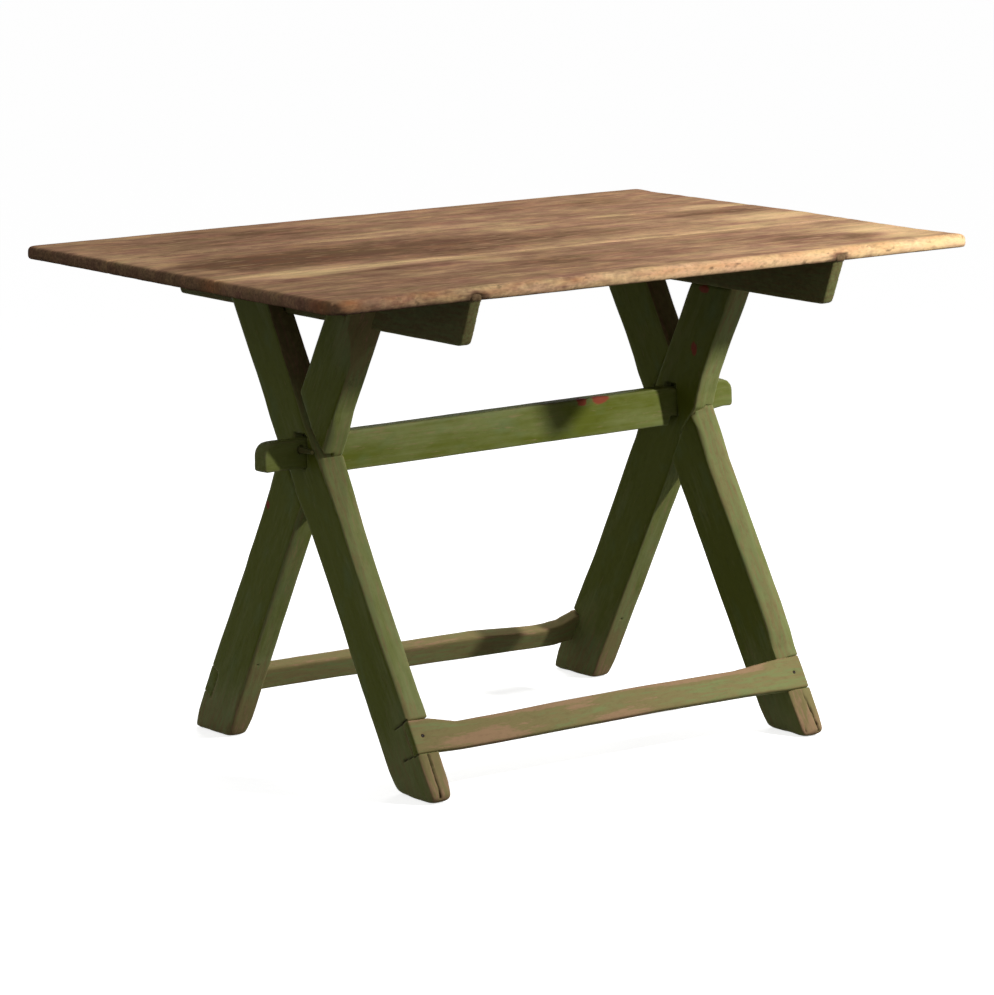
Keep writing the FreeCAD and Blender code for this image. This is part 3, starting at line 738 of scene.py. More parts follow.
class SAWBUCK_OT_top(bpy.types.Operator):
    """Make the three worn boards of the top"""

    bl_idname = "sawbuck.top"
    bl_label = "Top"

    def execute(self, context):
        settings = context.scene.sawbuck_wood
        for seed, place in enumerate(("back", "middle", "front"), SEEDS["boards"]):
            timber = Timber("top_board_" + place, BOARD_AXES, settings.mesh_size)
            if place == "front":
                round_front(timber)
            rub_edges(timber, settings.edge_wear, seed, 1 - 0.8 * self.sheltered(timber.placed()))
            hew(timber, settings.ripple, seed + 10)
            if place == "front":
                timber.dirt_and_shade = 0.2 * nick_front(timber, settings.nicks)
            self.colour_board(timber)
            timber.place(bend_top(timber.placed(), settings.waviness))
            timber.rest[:, 1] += GRAIN_STEP * seed
            finish_timber(timber, pine(context))
        return {"FINISHED"}

    def sheltered(self, placed):
        """1 where nothing rubs the boards: in their joints and below them."""
        joint_width, lower_part = 6 * MM, 10 * MM
        joints = [joint_line(placed, joint, joint_width) for joint in (BACK_JOINT, FRONT_JOINT)]
        below = ramp(placed[:, 2], UNDERSIDE + lower_part, UNDERSIDE)
        return np.maximum.reduce([*joints, below])

    def colour_board(self, timber):
        """Note where a board is pale, where it is dark with dirt and painted shade, and where it is orange.
        """
        placed = timber.placed()
        edge_start, edge_full = FRONT_EDGE + 19 * MM, FRONT_EDGE + 2 * MM
        upper_start, upper_full = TOP_FACE - 17 * MM, TOP_FACE - 5 * MM
        front_edge = ramp(placed[:, 1], edge_start, edge_full)
        upper = ramp(placed[:, 2], upper_start, upper_full)
        to_right = ramp(placed[:, 0], *PALE_EDGE)
        crumbs = swell(placed, (0.016, 0.008, 0.007), 12) + 0.7 * swell(placed, (0.006, 0.004, 0.004), 14)
        cloudy = np.clip(0.5 + swell(placed, (0.06, 0.02, 0.01), 13), 0, 1)
        left_end, right_end = timber.looks(LEFT), timber.looks(RIGHT)
        below = timber.looks(DOWN, 0.5, 0.9)
        chipped = patched(placed, BATTEN_CHIPS)
        pale = 0.1 * upper + 0.48 * to_right + 0.3 * crumbs
        timber.wear_and_light = top_tone(placed) + front_edge * pale - chipped
        timber.red = 0.4 * front_edge * upper * cloudy + patched(placed, RUDDY_PATCHES)
        # Painted shade: the lower half of the front edge is darker, most on the left, away from the lamp.
        shaded = 0.35 * front_edge * (1 - upper) * (1 - to_right)
        pits = front_edge * np.clip(1.5 * crumbs - 0.7, 0, 0.6)
        # The flat of the boards has only its deepest pores filled with dirt.
        timber.dirt_and_shade -= 0.06 * (1 - front_edge)
        # End grain and faces that look down are darker too.
        timber.dirt_and_shade += 0.38 * left_end + 0.25 * right_end + 0.35 * below + shaded + pits + 0.7 * chipped
        timber.dirt_and_shade -= 0.4 * left_end * ramp(placed[:, 1], *CLEAN_END)


class SAWBUCK_OT_battens(bpy.types.Operator):
    """Make the two battens below the top"""

    bl_idname = "sawbuck.battens"
    bl_label = "Battens"

    def execute(self, context):
        settings = context.scene.sawbuck_paint
        blend = 2 * MM
        for seed, side in enumerate(SIDES, SEEDS["battens"]):
            timber = Timber(side + "_batten", BATTEN_AXES, settings.mesh_size)
            in_top = ramp(timber.placed()[:, 2], UNDERSIDE - blend, UNDERSIDE + blend)
            rub_edges(timber, settings.edge_wear, seed, 1 - 0.9 * in_top)
            hew(timber, settings.ripple, seed)
            self.fill_slot(timber, in_top, context.scene.sawbuck_wood.waviness)
            timber.wear_and_light = 0.34 + 0.6 * in_top
            timber.dirt_and_shade = 0.42 + 0.13 * in_top + 0.11 * timber.looks(FRONT)
            finish_timber(timber, paint(context))
        return {"FINISHED"}

    def fill_slot(self, timber, in_top, waviness):
        """Let the tongue fill its slot up to the front edge of the top, and wander with the boards."""
        side_play, front_play, front_run = 2 * MM, 5 * MM, 12 * MM
        sideways = timber.normals * np.array([0, 1, 1])
        timber.points += sideways * (side_play * in_top)[:, None]
        placed = timber.placed()
        front = placed[:, 1].min()
        placed[:, 1] -= front_play * in_top * ramp(placed[:, 1], front + front_run, front)
        wander = bend_top(placed, waviness) - placed
        timber.place(placed + wander * in_top[:, None])


# How far the hewn-off front arris of each leg runs over its left face, in mm, at heights in metres.
HEWN_ARRIS = {
    "left_front_leg": ((0.0, 0.200, 0.380, 0.434, 0.468, 0.725), (2, 3, 6, 12, 16, 4)),
    "left_back_leg": ((0.0, 0.500, 0.525, 0.610, 0.634, 0.663, 0.725), (1, 4, 1, 1, 10, 29, 33)),
    "right_front_leg": ((0.0, 0.400, 0.440, 0.462, 0.472, 0.725), (8, 11, 10, 15, 3, 3)),
    "right_back_leg": ((0.0, 0.400, 0.725), (1, 1, 4)),
}
# How far the front and the back edge of each leg's head stand behind their plain place, in mm.
HEAD_DRIFT = {
    "left_front_leg": (-6, 3),
    "left_back_leg": (-4, -9),
    "right_front_leg": (-10, 4),
    "right_back_leg": (3, 6),
}
# Heights in metres, and how far the front and the back edge of each leg swell out there, in mm.
EDGE_SWELL = {
    "left_front_leg": (
        (0.14, 0.23, 0.36, 0.40, 0.434, 0.468, 0.505, 0.533, 0.57),
        (0, -1.5, 1.5, 5, 8.5, 12, 0, 0, 0),
        (0, -2.5, -2.5, 2, 0, 7, 6.5, 3, 1)),
    "left_back_leg": (
        (0.15, 0.27, 0.36, 0.40, 0.434, 0.468, 0.50, 0.533, 0.62, 0.725),
        (0, 0, 0, 2, 0, 12, 10, 4.5, 5.5, 3),
        (0, -4.5, -4.5, -4, 0, 7, 0, 0, 0, 0)),
    "right_front_leg": (
        (0.125, 0.15, 0.19, 0.33, 0.39, 0.431, 0.468, 0.504, 0.53, 0.56),
        (1, 6.5, 8.5, 8, 7.5, 12, 14, 0, 0, 0),
        (0, 0, 0, 0, 0, 0, 8, 8, 4, 2)),
    "right_back_leg": (
        (0.15, 0.20, 0.30, 0.35, 0.403, 0.424, 0.468, 0.49, 0.52, 0.56),
        (9, 9, 9, 9, 8, 0, 14, 8, 3, 1.5),
        (0, -1.5, 0, 1.5, 2.4, 5.5, 8, 0, 0, 0)),
}
# How bare the toe of each leg is, and the heights between which that grows to its full.
BARE_TOE = {"left_front_leg": 0.34, "left_back_leg": 0.18, "right_front_leg": 0.36, "right_back_leg": 0.22}
TOE_HEIGHTS = (0.11, 0.02)
# Below these heights a foot is rubbed round, and the paint of a leg is scuffed.
ROUND_FOOT = 0.03
SCUFFED = 0.16
# Between these heights the front edge of a front leg turns bare, and dark with dirt and painted shade from
# the top above it.
UNPAINTED_AND_SHADED = (0.52, 0.58)
# How far from the middle of a foot rail its joint still keeps the leg from being rubbed.
JOINT_REACH = 0.09
# Splits, saw kerfs and empty nail holes: leg, start and end in the row frame.
LEG_SPLITS = [
    ("left_front_leg", (-0.3365, -0.300, 0.069), (-0.338, -0.330, 0.010)),
    ("right_front_leg", (0.336, -0.305, 0.076), (0.343, -0.330, 0.009)),
    ("right_front_leg", (0.3185, -0.322, 0.035), (0.322, -0.332, 0.004)),
    ("left_back_leg", (-0.340, 0.139, 0.1165), (-0.340, 0.139, 0.1145)),
    ("left_back_leg", (-0.339, 0.146, 0.0935), (-0.339, 0.146, 0.0915)),
    ("right_back_leg", (0.333, 0.153, 0.1080), (0.333, 0.153, 0.1060)),
    ("left_front_leg", (-0.353, -0.272, 0.1145), (-0.353, -0.237, 0.094)),
    ("left_front_leg", (-0.353, -0.298, 0.070), (-0.353, -0.259, 0.052)),
]
# Patches where an older red paint shows: place and reach in the row frame, and how strongly.
RED_PATCHES = [
    ((0.1425, -0.016, 0.491), (0.016, 0.02, 0.013), 1.0),
    ((0.176, -0.016, 0.490), (0.026, 0.02, 0.012), 1.0),
    ((0.317, -0.066, 0.558), (0.02, 0.012, 0.017), 1.0),
    ((0.317, -0.093, 0.652), (0.02, 0.022, 0.010), 1.0),
    ((-0.353, 0.088, 0.375), (0.02, 0.008, 0.010), 1.0),
]
# Patches where the paint is rubbed thin, one also as painted light: place and reach in the row frame, and
# how thin.
THIN_AND_LIT_PATCHES = [
    # Thin paint and painted light: this lightens the upper front of the left back leg's head, which the top
    # shades.
    ((-0.335, -0.185, 0.640), (0.05, 0.12, 0.22), 0.4),
    ((0.345, -0.185, 0.620), (0.05, 0.10, 0.16), 0.25),
    ((-0.335, 0.142, 0.104), (0.03, 0.035, 0.035), 0.3),
    ((-0.345, 0.260, 0.010), (0.05, 0.12, 0.10), 0.16),
    ((0.325, 0.260, 0.010), (0.05, 0.12, 0.10), 0.12),
]


def hew_arris(timber, heights, spans):
    """Shave the arris between the front edge and the left face of a leg. Returns where, 0 to 1."""
    steepness, deepest, least_cut = 2.4, 34 * MM, 0.05
    placed = timber.placed()
    across = np.interp(placed[:, 2], heights, spans) * MM
    through = np.minimum(steepness * across, deepest)
    from_front = timber.points[:, 1] - timber.low[1]
    from_left = placed[:, 0] - placed[:, 0].min()
    slope = np.stack([1 / across, 1 / through], axis=1)
    missing = np.clip(1 - from_front / across - from_left / through, 0, 1)
    step = missing[:, None] * slope / (slope ** 2).sum(1)[:, None]
    timber.points[:, 1] += step[:, 0]
    placed = timber.placed()
    placed[:, 0] += step[:, 1]
    timber.place(placed)
    return ramp(missing, 0, least_cut)


def rail_joint(placed, end):
    """1 at the joints with a foot rail, fading to 0 around them."""
    low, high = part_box(end + "_foot_rail")
    return near(placed[:, 1:], ((low + high) / 2).yz, JOINT_REACH)


def share_of_depth(timber):
    """0 at the front edge of a leg and 1 at its back edge."""
    return ramp(timber.rest[:, 1], timber.low[1], timber.high[1])


def drift_head(timber, front, back):
    """Let the head of a leg wander from its plain place, none at the crossing."""
    placed = timber.placed()
    share = ramp(placed[:, 2], CROSSING_Z, UNDERSIDE)
    placed[:, 1] += share * (front + (back - front) * share_of_depth(timber)) * MM
    timber.place(placed)


def swell_edges(timber, heights, front, back):
    """Let the front and the back edge of a leg swell out of their line. Its middle stays in place."""
    still_from, still_to = 0.4, 0.6
    placed = timber.placed()
    depth = share_of_depth(timber)
    forward = np.interp(placed[:, 2], heights, front) * ramp(depth, still_from, 0)
    backward = np.interp(placed[:, 2], heights, back) * ramp(depth, still_to, 1)
    placed[:, 1] += (backward - forward) * MM
    timber.place(placed)


class SAWBUCK_OT_legs(bpy.types.Operator):
    """Make the four hewn legs"""

    bl_idname = "sawbuck.legs"
    bl_label = "Legs"

    def execute(self, context):
        settings = context.scene.sawbuck_paint
        for seed, (side, end) in enumerate(LEGS, SEEDS["legs"]):
            leg = "%s_%s_leg" % (side, end)
            timber = Timber(leg, leg_axes(end), settings.mesh_size)
            hewn = hew_arris(timber, *HEWN_ARRIS[leg])
            edges = rub_edges(timber, settings.edge_wear, seed, 1 - 0.8 * rail_joint(timber.placed(), end))
            rub_edges(timber, settings.foot_wear, seed, ramp(timber.placed()[:, 2], ROUND_FOOT, 0))
            hew(timber, settings.ripple, seed)
            drift_head(timber, *HEAD_DRIFT[leg])
            swell_edges(timber, *EDGE_SWELL[leg])
            self.colour_leg(timber, end, hewn, edges)
            for name, start, stop in LEG_SPLITS:
                if name == leg:
                    split(timber, start, stop)
            finish_timber(timber, paint(context))
        return {"FINISHED"}

    def colour_leg(self, timber, end, hewn, edges):
        """Note where a leg's paint is worn or lightened as painted light, where it is dark with dirt and
        painted shade, and where older red shows.
        """
        placed = timber.placed()
        height = placed[:, 2]
        front = np.maximum(timber.looks(FRONT, 0.3, 0.7), hewn)
        toe = BARE_TOE[timber.node] * front * ramp(height, *TOE_HEIGHTS)
        scuffs = ramp(height, SCUFFED, 0)
        timber.wear_and_light = 0.03 + 0.15 * front + 0.1 * hewn + 0.08 * edges + 0.22 * scuffs + toe
        timber.wear_and_light += patched(placed, THIN_AND_LIT_PATCHES)
        if end == "front":
            bare_and_shaded = front * ramp(height, *UNPAINTED_AND_SHADED)
            timber.wear_and_light += 0.35 * bare_and_shaded
            # The dirt here is partly painted shade: this part lies in the shadow of the top.
            timber.dirt_and_shade = 0.5 * bare_and_shaded
        timber.red = patched(placed, RED_PATCHES)


# Places along each rail in metres, and how far its upper and its lower edge stand above their line, in mm.
RAIL_EDGES = {
    "centre_rail": (
        (-0.318, -0.314, 0.314, 0.318, 0.365, 0.41),
        (0, -3.3, 1, 0, 0, 6),
        (0, -3.8, 0.6, 0, 0, 6)),
    "front_foot_rail": (
        (-0.315, -0.27, -0.20, -0.10, 0.07, 0.24, 0.315),
        (0, -4, -3.5, -0.8, 1.2, 0, 0),
        (0, -1.6, -1.4, 0, 2.4, 2.2, 0)),
    "back_foot_rail": (
        (-0.20, 0.0, 0.12, 0.20, 0.25, 0.285, 0.315),
        (0, -2, -2.5, -7.3, -11, -10, -1),
        (0, -1.8, -3, -4, -5, -5, -1)),
}
# Distances from the middle of the table between which the centre rail turns into its tenons, and between
# which a foot rail goes into its joints.
TENON_STARTS = (0.295, 0.315)
JOINT_STARTS = (0.335, 0.35)
# How worn the paint of each foot rail is all over.
FOOT_RAIL_WEAR = {"front": 0.38, "back": 0.36}
# Patches of the front foot rail that feet have rubbed bare: the middle along the rail, the share of its
# height and their reach, and how bare.
FRONT_RAIL_PATCHES = [
    ((-0.23, 0.25), (0.16, 0.6), 0.56),
    ((-0.14, 1.0), (0.17, 0.4), 0.5),
    ((-0.06, 0.7), (0.08, 0.3), 0.35),
    ((0.025, 0.1), (0.09, 0.45), 0.52),
    ((0.14, 1.0), (0.15, 0.4), 0.52),
    ((0.255, 0.9), (0.06, 0.4), 0.48),
]


def share_of_height(timber):
    """Height of each point between the lower and the upper edge of a piece, at its place along it."""
    slice_length = 10 * MM
    place = np.round(timber.rest[:, 0] / slice_length).astype(int)
    place -= place.min()
    low = np.full(place.max() + 1, np.inf)
    high = -low
    np.minimum.at(low, place, timber.rest[:, 1])
    np.maximum.at(high, place, timber.rest[:, 1])
    return ramp(timber.rest[:, 1], low[place], high[place])


def bend_rail(timber, places, upper, lower):
    """Let the edges of a rail wander, and sink where feet have worn them hollow."""
    placed = timber.placed()
    share = share_of_height(timber)
    rise_above = np.interp(placed[:, 0], places, upper)
    rise_below = np.interp(placed[:, 0], places, lower)
    placed[:, 2] += (rise_below + (rise_above - rise_below) * share) * MM
    timber.place(placed)


class SAWBUCK_OT_centre_rail(bpy.types.Operator):
    """Make the rail with its through tenons"""

    bl_idname = "sawbuck.centre_rail"
    bl_label = "Centre rail"

    def execute(self, context):
        settings = context.scene.sawbuck_paint
        seed = SEEDS["centre_rail"]
        timber = Timber("centre_rail", RAIL_AXES, settings.mesh_size)
        self.droop_tenons(timber)
        bend_rail(timber, *RAIL_EDGES[timber.node])
        edges = rub_edges(timber, settings.edge_wear, seed)
        hew(timber, settings.ripple, seed)
        self.fill_mortises(timber)
        timber.wear_and_light = 0.12 + 0.1 * edges
        timber.red = patched(timber.placed(), RED_PATCHES)
        finish_timber(timber, paint(context))
        return {"FINISHED"}

    def droop_tenons(self, timber):
        """Let the upper side of both tenons fall away towards their ends."""
        run, drop = 30 * MM, 5 * MM
        placed = timber.placed()
        level = placed[:, 2]
        upper = ramp(level, level.min(), level.max())
        for end in (placed[:, 0].min(), placed[:, 0].max()):
            outward = ramp(abs(placed[:, 0] - end), run, 0) ** 2
            placed[:, 2] -= drop * outward * upper
        timber.place(placed)

    def fill_mortises(self, timber):
        """Swell the sides of the tenons, so that no light shows beside them."""
        play = 1.2 * MM
        tenon = ramp(abs(timber.placed()[:, 0]), *TENON_STARTS)
        side = ramp(abs(timber.facing()[:, 1]), 0.3, 0.8)
        timber.push(play * tenon * side)


class SAWBUCK_OT_foot_rails(bpy.types.Operator):
    """Make the two foot rails, rubbed bare by feet"""

    bl_idname = "sawbuck.foot_rails"
    bl_label = "Foot rails"

    def execute(self, context):
        settings = context.scene.sawbuck_paint
        for seed, end in enumerate(ENDS, SEEDS["foot_rails"]):
            timber = Timber(end + "_foot_rail", foot_rail_axes(end), settings.mesh_size)
            bend_rail(timber, *RAIL_EDGES[timber.node])
            in_joint = ramp(abs(timber.placed()[:, 0]), *JOINT_STARTS)
            edges = rub_edges(timber, settings.edge_wear, seed, 1 - 0.8 * in_joint)
            hew(timber, settings.ripple, seed)
            height = share_of_height(timber)
            streaked = swell(timber.rest, (0.12, 0.012, 0.012), seed)
            end_grain = ramp(abs(timber.facing()[:, 0]), 0.4, 0.9)
            timber.wear_and_light = FOOT_RAIL_WEAR[end] + 0.1 * edges + 0.2 * ramp(height, 0.75, 1) + 0.2 * streaked
            if end == "front":
                spots = np.stack([timber.rest[:, 0], height], axis=1)
                timber.wear_and_light += patched(spots, FRONT_RAIL_PATCHES)
            timber.wear_and_light *= 1 - 0.9 * end_grain
            finish_timber(timber, paint(context))
        return {"FINISHED"}


class SAWBUCK_OT_pegs(bpy.types.Operator):
    """Make the two whittled locking pegs"""

    bl_idname = "sawbuck.pegs"
    bl_label = "Locking pegs"

    def execute(self, context):
        settings = context.scene.sawbuck_paint
        tip_depth = 1.5 * MM
        for seed, side in enumerate(SIDES, SEEDS["pegs"]):
            timber = Timber(side + "_locking_peg", BATTEN_AXES, 0.5 * settings.mesh_size)
            rub_edges(timber, settings.edge_wear, seed)
            self.whittle(timber)
            # The peg is darkened with grime, partly as painted shade, and its bare tip is left light, partly
            # as a painted highlight.
            lit_bare_tip = ramp(timber.rest[:, 0], timber.low[0] + tip_depth, timber.low[0])
            timber.wear_and_light = 0.2 + 0.3 * lit_bare_tip
            timber.dirt_and_shade = 0.55 * (1 - lit_bare_tip)
            finish_timber(timber, paint(context), body=side + "_peg")
        return {"FINISHED"}

    def whittle(self, timber):
        """Cut the front of a peg thinner and shorter, and leave what sits in the tenon round and full."""
        shoulder, neck = 46 * MM, 34 * MM
        shortening, shortened_run = 10 * MM, 40 * MM
        from_tip = timber.rest[:, 0] - timber.low[0]
        thin = 1 - 0.25 * ramp(from_tip, shoulder, neck) - 0.2 * ramp(from_tip, neck, 0)
        axis = (timber.low[1:] + timber.high[1:]) / 2
        timber.points[:, 1:] = axis + (timber.points[:, 1:] - axis) * thin[:, None]
        timber.points[:, 0] += shortening * ramp(from_tip, shortened_run, 0)


# Lengths of the nails, and the other sizes, which they share.
RAIL_NAIL = 62 * MM
BATTEN_NAIL = 36 * MM
NAIL_SIZES = {"Head width": 8 * MM, "Head height": 1.8 * MM, "Shank width": 3.8 * MM}


def make_nail_tree(material):
    """Geometry nodes that set a forged nail, with a square shank and a faceted head, on every point."""
    tree = bpy.data.node_groups.new("Forged nails", "GeometryNodeTree")
    tree.interface.new_socket("Geometry", in_out="OUTPUT", socket_type="NodeSocketGeometry")
    tree.interface.new_socket("Geometry", in_out="INPUT", socket_type="NodeSocketGeometry")
    for name, kind in (("Head width", "Float"), ("Head height", "Float"), ("Shank width", "Float"),
                       ("Length", "Float"), ("Outward", "Vector"), ("Seed", "Int")):
        tree.interface.new_socket(name, in_out="INPUT", socket_type="NodeSocket" + kind)
    given = add_node(tree, "NodeGroupInput").outputs
    head_facets, shank_sides = 7, 4
    # Each part's sides and width, the radius of its inner and its outer end as shares of the width, and
    # its depth.
    parts = [
        (head_facets, given["Head width"], 0.5, 0.22, given["Head height"]),
        (shank_sides, given["Shank width"], 0.2, 0.5, given["Length"]),
    ]
    nail = add_node(tree, "GeometryNodeJoinGeometry")
    for sides, width, inner_share, outer_share, depth in parts:
        inner = add_node(tree, "ShaderNodeMath", {0: width, 1: inner_share}, operation="MULTIPLY")
        outer = add_node(tree, "ShaderNodeMath", {0: width, 1: outer_share}, operation="MULTIPLY")
        cone = add_node(tree, "GeometryNodeMeshCone", {
            "Vertices": sides, "Radius Bottom": inner, "Radius Top": outer, "Depth": depth})
        down = add_node(tree, "ShaderNodeMath", {0: depth, 1: -1.0}, operation="MULTIPLY")
        place = add_node(tree, "ShaderNodeCombineXYZ", {"Z": down})
        sunk = add_node(tree, "GeometryNodeTransform", {"Geometry": cone, "Translation": place})
        tree.links.new(sunk.outputs[0], nail.inputs[0])
    full_turn = 2 * np.pi
    twist = add_node(tree, "FunctionNodeRandomValue", {
        "Max": (0, 0, full_turn), "Seed": given["Seed"]}, data_type="FLOAT_VECTOR")
    aim = add_node(tree, "FunctionNodeAlignRotationToVector", {"Vector": given["Outward"]}, axis="Z")
    turn = add_node(tree, "FunctionNodeRotateRotation", {
        "Rotation": aim, "Rotate By": twist}, rotation_space="LOCAL")
    nails = add_node(tree, "GeometryNodeInstanceOnPoints", {
        "Points": given["Geometry"], "Instance": nail, "Rotation": turn})
    solid = add_node(tree, "GeometryNodeRealizeInstances", {"Geometry": nails})
    dressed = add_node(tree, "GeometryNodeSetMaterial", {"Geometry": solid, "Material": material})
    add_node(tree, "NodeGroupOutput", {"Geometry": dressed})
    return tree


def nail_heads(node, outward):
    """Middles of the nail heads of a CAD node, whose nails all point the same way."""
    same_nail = 12 * MM
    bm = merged_copy(node)
    points = np.array([vert.co for vert in bm.verts])
    bm.free()
    height = points @ outward
    flat = points - height[:, None] * outward
    heads = []
    for place in np.argsort(-height):
        if all(np.linalg.norm(flat[place] - spot) > same_nail for spot, _ in heads):
            heads.append((flat[place], height[place]))
    middles = []
    for spot, top in heads:
        mine = np.linalg.norm(flat - spot, axis=1) < same_nail
        middle = (flat[mine].min(0) + flat[mine].max(0)) / 2
        middles.append(middle + top * outward)
    return middles


class SAWBUCK_OT_nails(bpy.types.Operator):
    """Make the forged nails of the foot rails and the battens"""

    bl_idname = "sawbuck.nails"
    bl_label = "Nails"

    def execute(self, context):
        tree = make_nail_tree(make_iron())
        groups = []
        for end, sign in zip(ENDS, (1, -1)):
            groups.append((end + "_rail_nails", sign * foot_rail_axes(end)[2], RAIL_NAIL))
        for side, sign in zip(SIDES, (-1, 1)):
            groups.append((side + "_batten_nails", np.array([sign, 0, 0]), BATTEN_NAIL))
        for seed, (node, outward, span) in enumerate(groups):
            self.make_group(tree, node, outward, span, seed)
        return {"FINISHED"}

    def make_group(self, tree, node, outward, span, seed):
        """Nails of one node as a plain mesh."""
        points = bpy.data.meshes.new(node + "_points")
        points.from_pydata([tuple(middle) for middle in nail_heads(node, outward)], [], [])
        carrier = new_object(node + "_points", points)
        modifier = carrier.modifiers.new("Nails", "NODES")
        modifier.node_group = tree
        values = {**NAIL_SIZES, "Length": span, "Outward": [float(part) for part in outward], "Seed": seed}
        for item in tree.interface.items_tree:
            if item.name in values:
                modifier[item.identifier] = values[item.name]
        hang("forged_" + node, plain_mesh(carrier), node, "table")


# The camera: its place, its turns about Z, X and its own view axis, and its lens in mm.
CAMERA_PLACE = (-4.00573, -5.78948, 1.61279)
CAMERA_AZIMUTH = -0.604736
CAMERA_TILT = 1.394284
CAMERA_ROLL = -0.017318
CAMERA_LENS = 173.155
SENSOR_WIDTH = 36
# The main lamp stands this way from the front end of the right batten.
KEY_AIM = (0.32, -0.39, 0.66)
KEY_DIRECTION = (0.468, -0.757, 0.456)
# A soft lamp stands this way from the middle of the top.
BACK_AIM = (0.0, 0.0, TOP_FACE)
BACK_DIRECTION = (0.45, 0.65, 0.6)
# Width of the floor, and how far the camera sees.
FLOOR_SIZE = 60.0
SIGHT = 100.0


def seen_directly(tree):
    """1 for rays that show the background: from the camera, in a gloss or through glass."""
    path = add_node(tree, "ShaderNodeLightPath").outputs
    direct = path["Is Camera Ray"]
    for kind in ("Is Glossy Ray", "Is Transmission Ray"):
        direct = add_node(tree, "ShaderNodeMath", {0: direct, 1: path[kind]}, operation="MAXIMUM").outputs[0]
    return direct


def make_floor_material(glow):
    """Matt white paper: it shows white and keeps a faint shadow, and throws little light back."""
    material, tree = new_material("Matt white paper")
    dull = add_node(tree, "ShaderNodeBsdfDiffuse", {"Color": linear("#6a6a6a")})
    white = add_node(tree, "ShaderNodeBsdfDiffuse", {"Color": linear("#f4f4f4")})
    light = add_node(tree, "ShaderNodeEmission", {"Strength": glow})
    shown = add_node(tree, "ShaderNodeAddShader", {0: white, 1: light})
    mix = add_node(tree, "ShaderNodeMixShader", {0: seen_directly(tree), 1: dull, 2: shown})
    add_node(tree, "ShaderNodeOutputMaterial", {"Surface": mix})
    return material


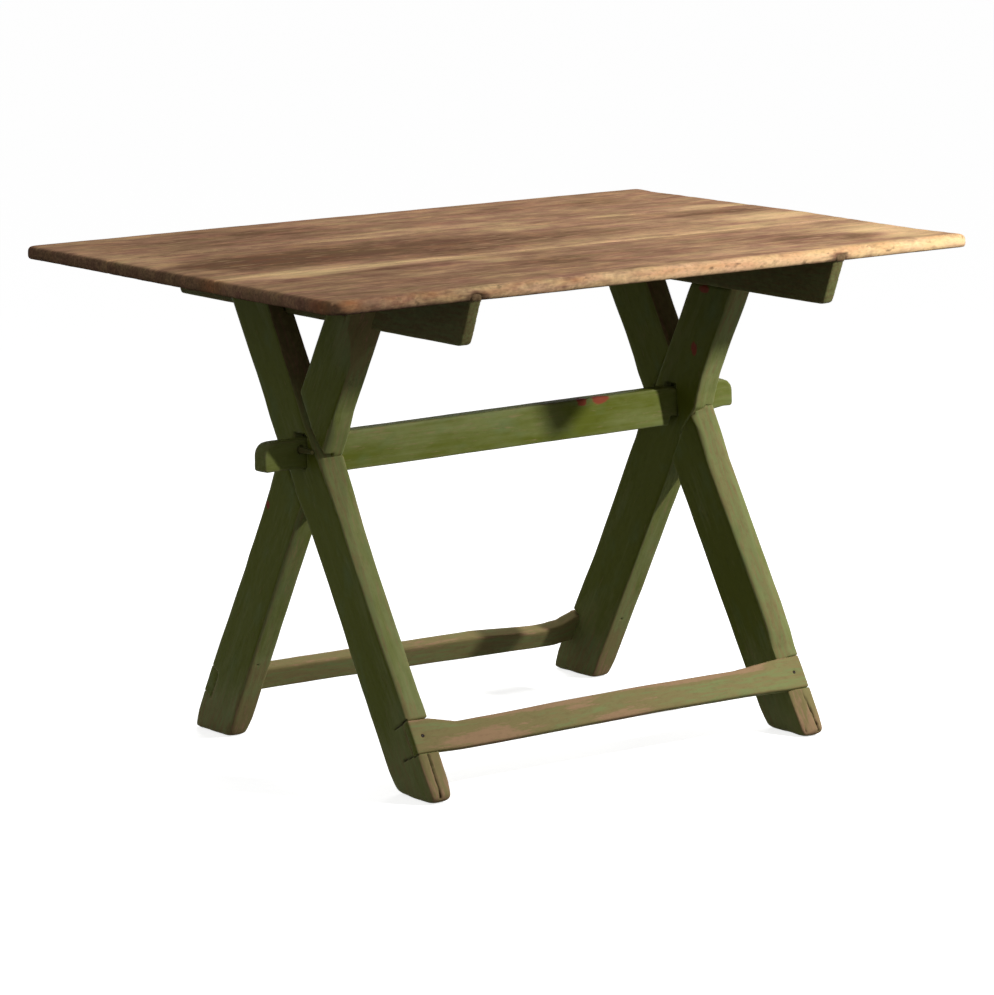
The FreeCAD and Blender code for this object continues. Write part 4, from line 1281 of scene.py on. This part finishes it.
class SAWBUCK_OT_stage(bpy.types.Operator):
    """Make the floor, the light and the camera"""

    bl_idname = "sawbuck.stage"
    bl_label = "Stage"

    def execute(self, context):
        settings = context.scene.sawbuck_stage
        self.make_floor(settings)
        self.make_world(context.scene, settings)
        self.make_lamp(
            "key", settings.key_power, settings.key_size, KEY_AIM, KEY_DIRECTION, settings.key_reach)
        self.make_lamp(
            "back", settings.back_power, settings.back_size, BACK_AIM, BACK_DIRECTION, settings.back_reach)
        self.make_camera(context.scene)
        context.scene.view_settings.view_transform = "Standard"
        return {"FINISHED"}

    def make_floor(self, settings):
        """A wide white floor."""
        mesh = bpy.data.meshes.new("floor")
        half = FLOOR_SIZE / 2
        corners = [(-half, -half, 0), (half, -half, 0), (half, half, 0), (-half, half, 0)]
        mesh.from_pydata(corners, [], [(0, 1, 2, 3)])
        mesh.materials.append(make_floor_material(settings.floor_glow))
        floor = new_object("floor", mesh)

    def make_world(self, scene, settings):
        """Even white light from all round, shown as plain white."""
        world = bpy.data.worlds.new("White studio")
        world.use_nodes = True
        tree = world.node_tree
        tree.nodes.clear()
        white = linear("#ffffff")
        dim = add_node(tree, "ShaderNodeBackground", {"Color": white, "Strength": settings.fill})
        full = add_node(tree, "ShaderNodeBackground", {"Color": white, "Strength": 1.0})
        mix = add_node(tree, "ShaderNodeMixShader", {0: seen_directly(tree), 1: dim, 2: full})
        add_node(tree, "ShaderNodeOutputWorld", {"Surface": mix})
        scene.world = world

    def make_lamp(self, name, power, size, aim, direction, reach):
        """A round soft lamp that stands in a direction from what it is aimed at."""
        lamp = bpy.data.lights.new(name, "AREA")
        lamp.shape = "DISK"
        lamp.size = size
        lamp.energy = power
        holder = new_object(name, lamp)
        direction = Vector(direction).normalized()
        holder.location = Vector(aim) + direction * reach
        holder.rotation_mode = "QUATERNION"
        holder.rotation_quaternion = direction.to_track_quat("Z", "Y")

    def make_camera(self, scene):
        """The camera at the photograph's viewing angle."""
        lens = bpy.data.cameras.new("camera")
        lens.sensor_fit = "HORIZONTAL"
        lens.sensor_width = SENSOR_WIDTH
        lens.lens = CAMERA_LENS
        lens.clip_end = SIGHT
        camera = new_object("camera", lens)
        turn = Matrix.Identity(4)
        for angle, axis in ((CAMERA_AZIMUTH, "Z"), (CAMERA_TILT, "X"), (CAMERA_ROLL, "Z")):
            turn = turn @ Matrix.Rotation(angle, 4, axis)
        camera.matrix_world = Matrix.Translation(CAMERA_PLACE) @ turn
        scene.camera = camera


OPERATORS = (
    SAWBUCK_OT_top, SAWBUCK_OT_battens, SAWBUCK_OT_legs, SAWBUCK_OT_centre_rail,
    SAWBUCK_OT_foot_rails, SAWBUCK_OT_pegs, SAWBUCK_OT_nails, SAWBUCK_OT_stage,
)
SETTINGS = {
    "sawbuck_wood": SAWBUCK_PG_wood,
    "sawbuck_paint": SAWBUCK_PG_paint,
    "sawbuck_stage": SAWBUCK_PG_stage,
}


class SAWBUCK_PT_panel(bpy.types.Panel):
    """Sizes, colours and pieces of the table"""

    bl_label = "Sawbuck table"
    bl_idname = "SAWBUCK_PT_panel"
    bl_space_type = "VIEW_3D"
    bl_region_type = "UI"
    bl_category = "Table"

    def draw(self, context):
        for name, group in SETTINGS.items():
            box = self.layout.box()
            box.label(text=group.__doc__)
            for setting in group.__annotations__:
                box.prop(getattr(context.scene, name), setting)
        for operator in OPERATORS:
            self.layout.operator(operator.bl_idname)


CLASSES = (*SETTINGS.values(), *OPERATORS, SAWBUCK_PT_panel)


def register():
    """Register the classes and give each scene its settings."""
    for item in CLASSES:
        bpy.utils.register_class(item)
    for name, group in SETTINGS.items():
        setattr(bpy.types.Scene, name, bpy.props.PointerProperty(type=group))


def unregister():
    """Undo what register does."""
    for name in SETTINGS:
        delattr(bpy.types.Scene, name)
    for item in reversed(CLASSES):
        bpy.utils.unregister_class(item)


def main():
    """Make every piece and the stage."""
    register()
    bpy.ops.sawbuck.top()
    bpy.ops.sawbuck.battens()
    bpy.ops.sawbuck.legs()
    bpy.ops.sawbuck.centre_rail()
    bpy.ops.sawbuck.foot_rails()
    bpy.ops.sawbuck.pegs()
    bpy.ops.sawbuck.nails()
    bpy.ops.sawbuck.stage()


if __name__ == "__main__":
    main()
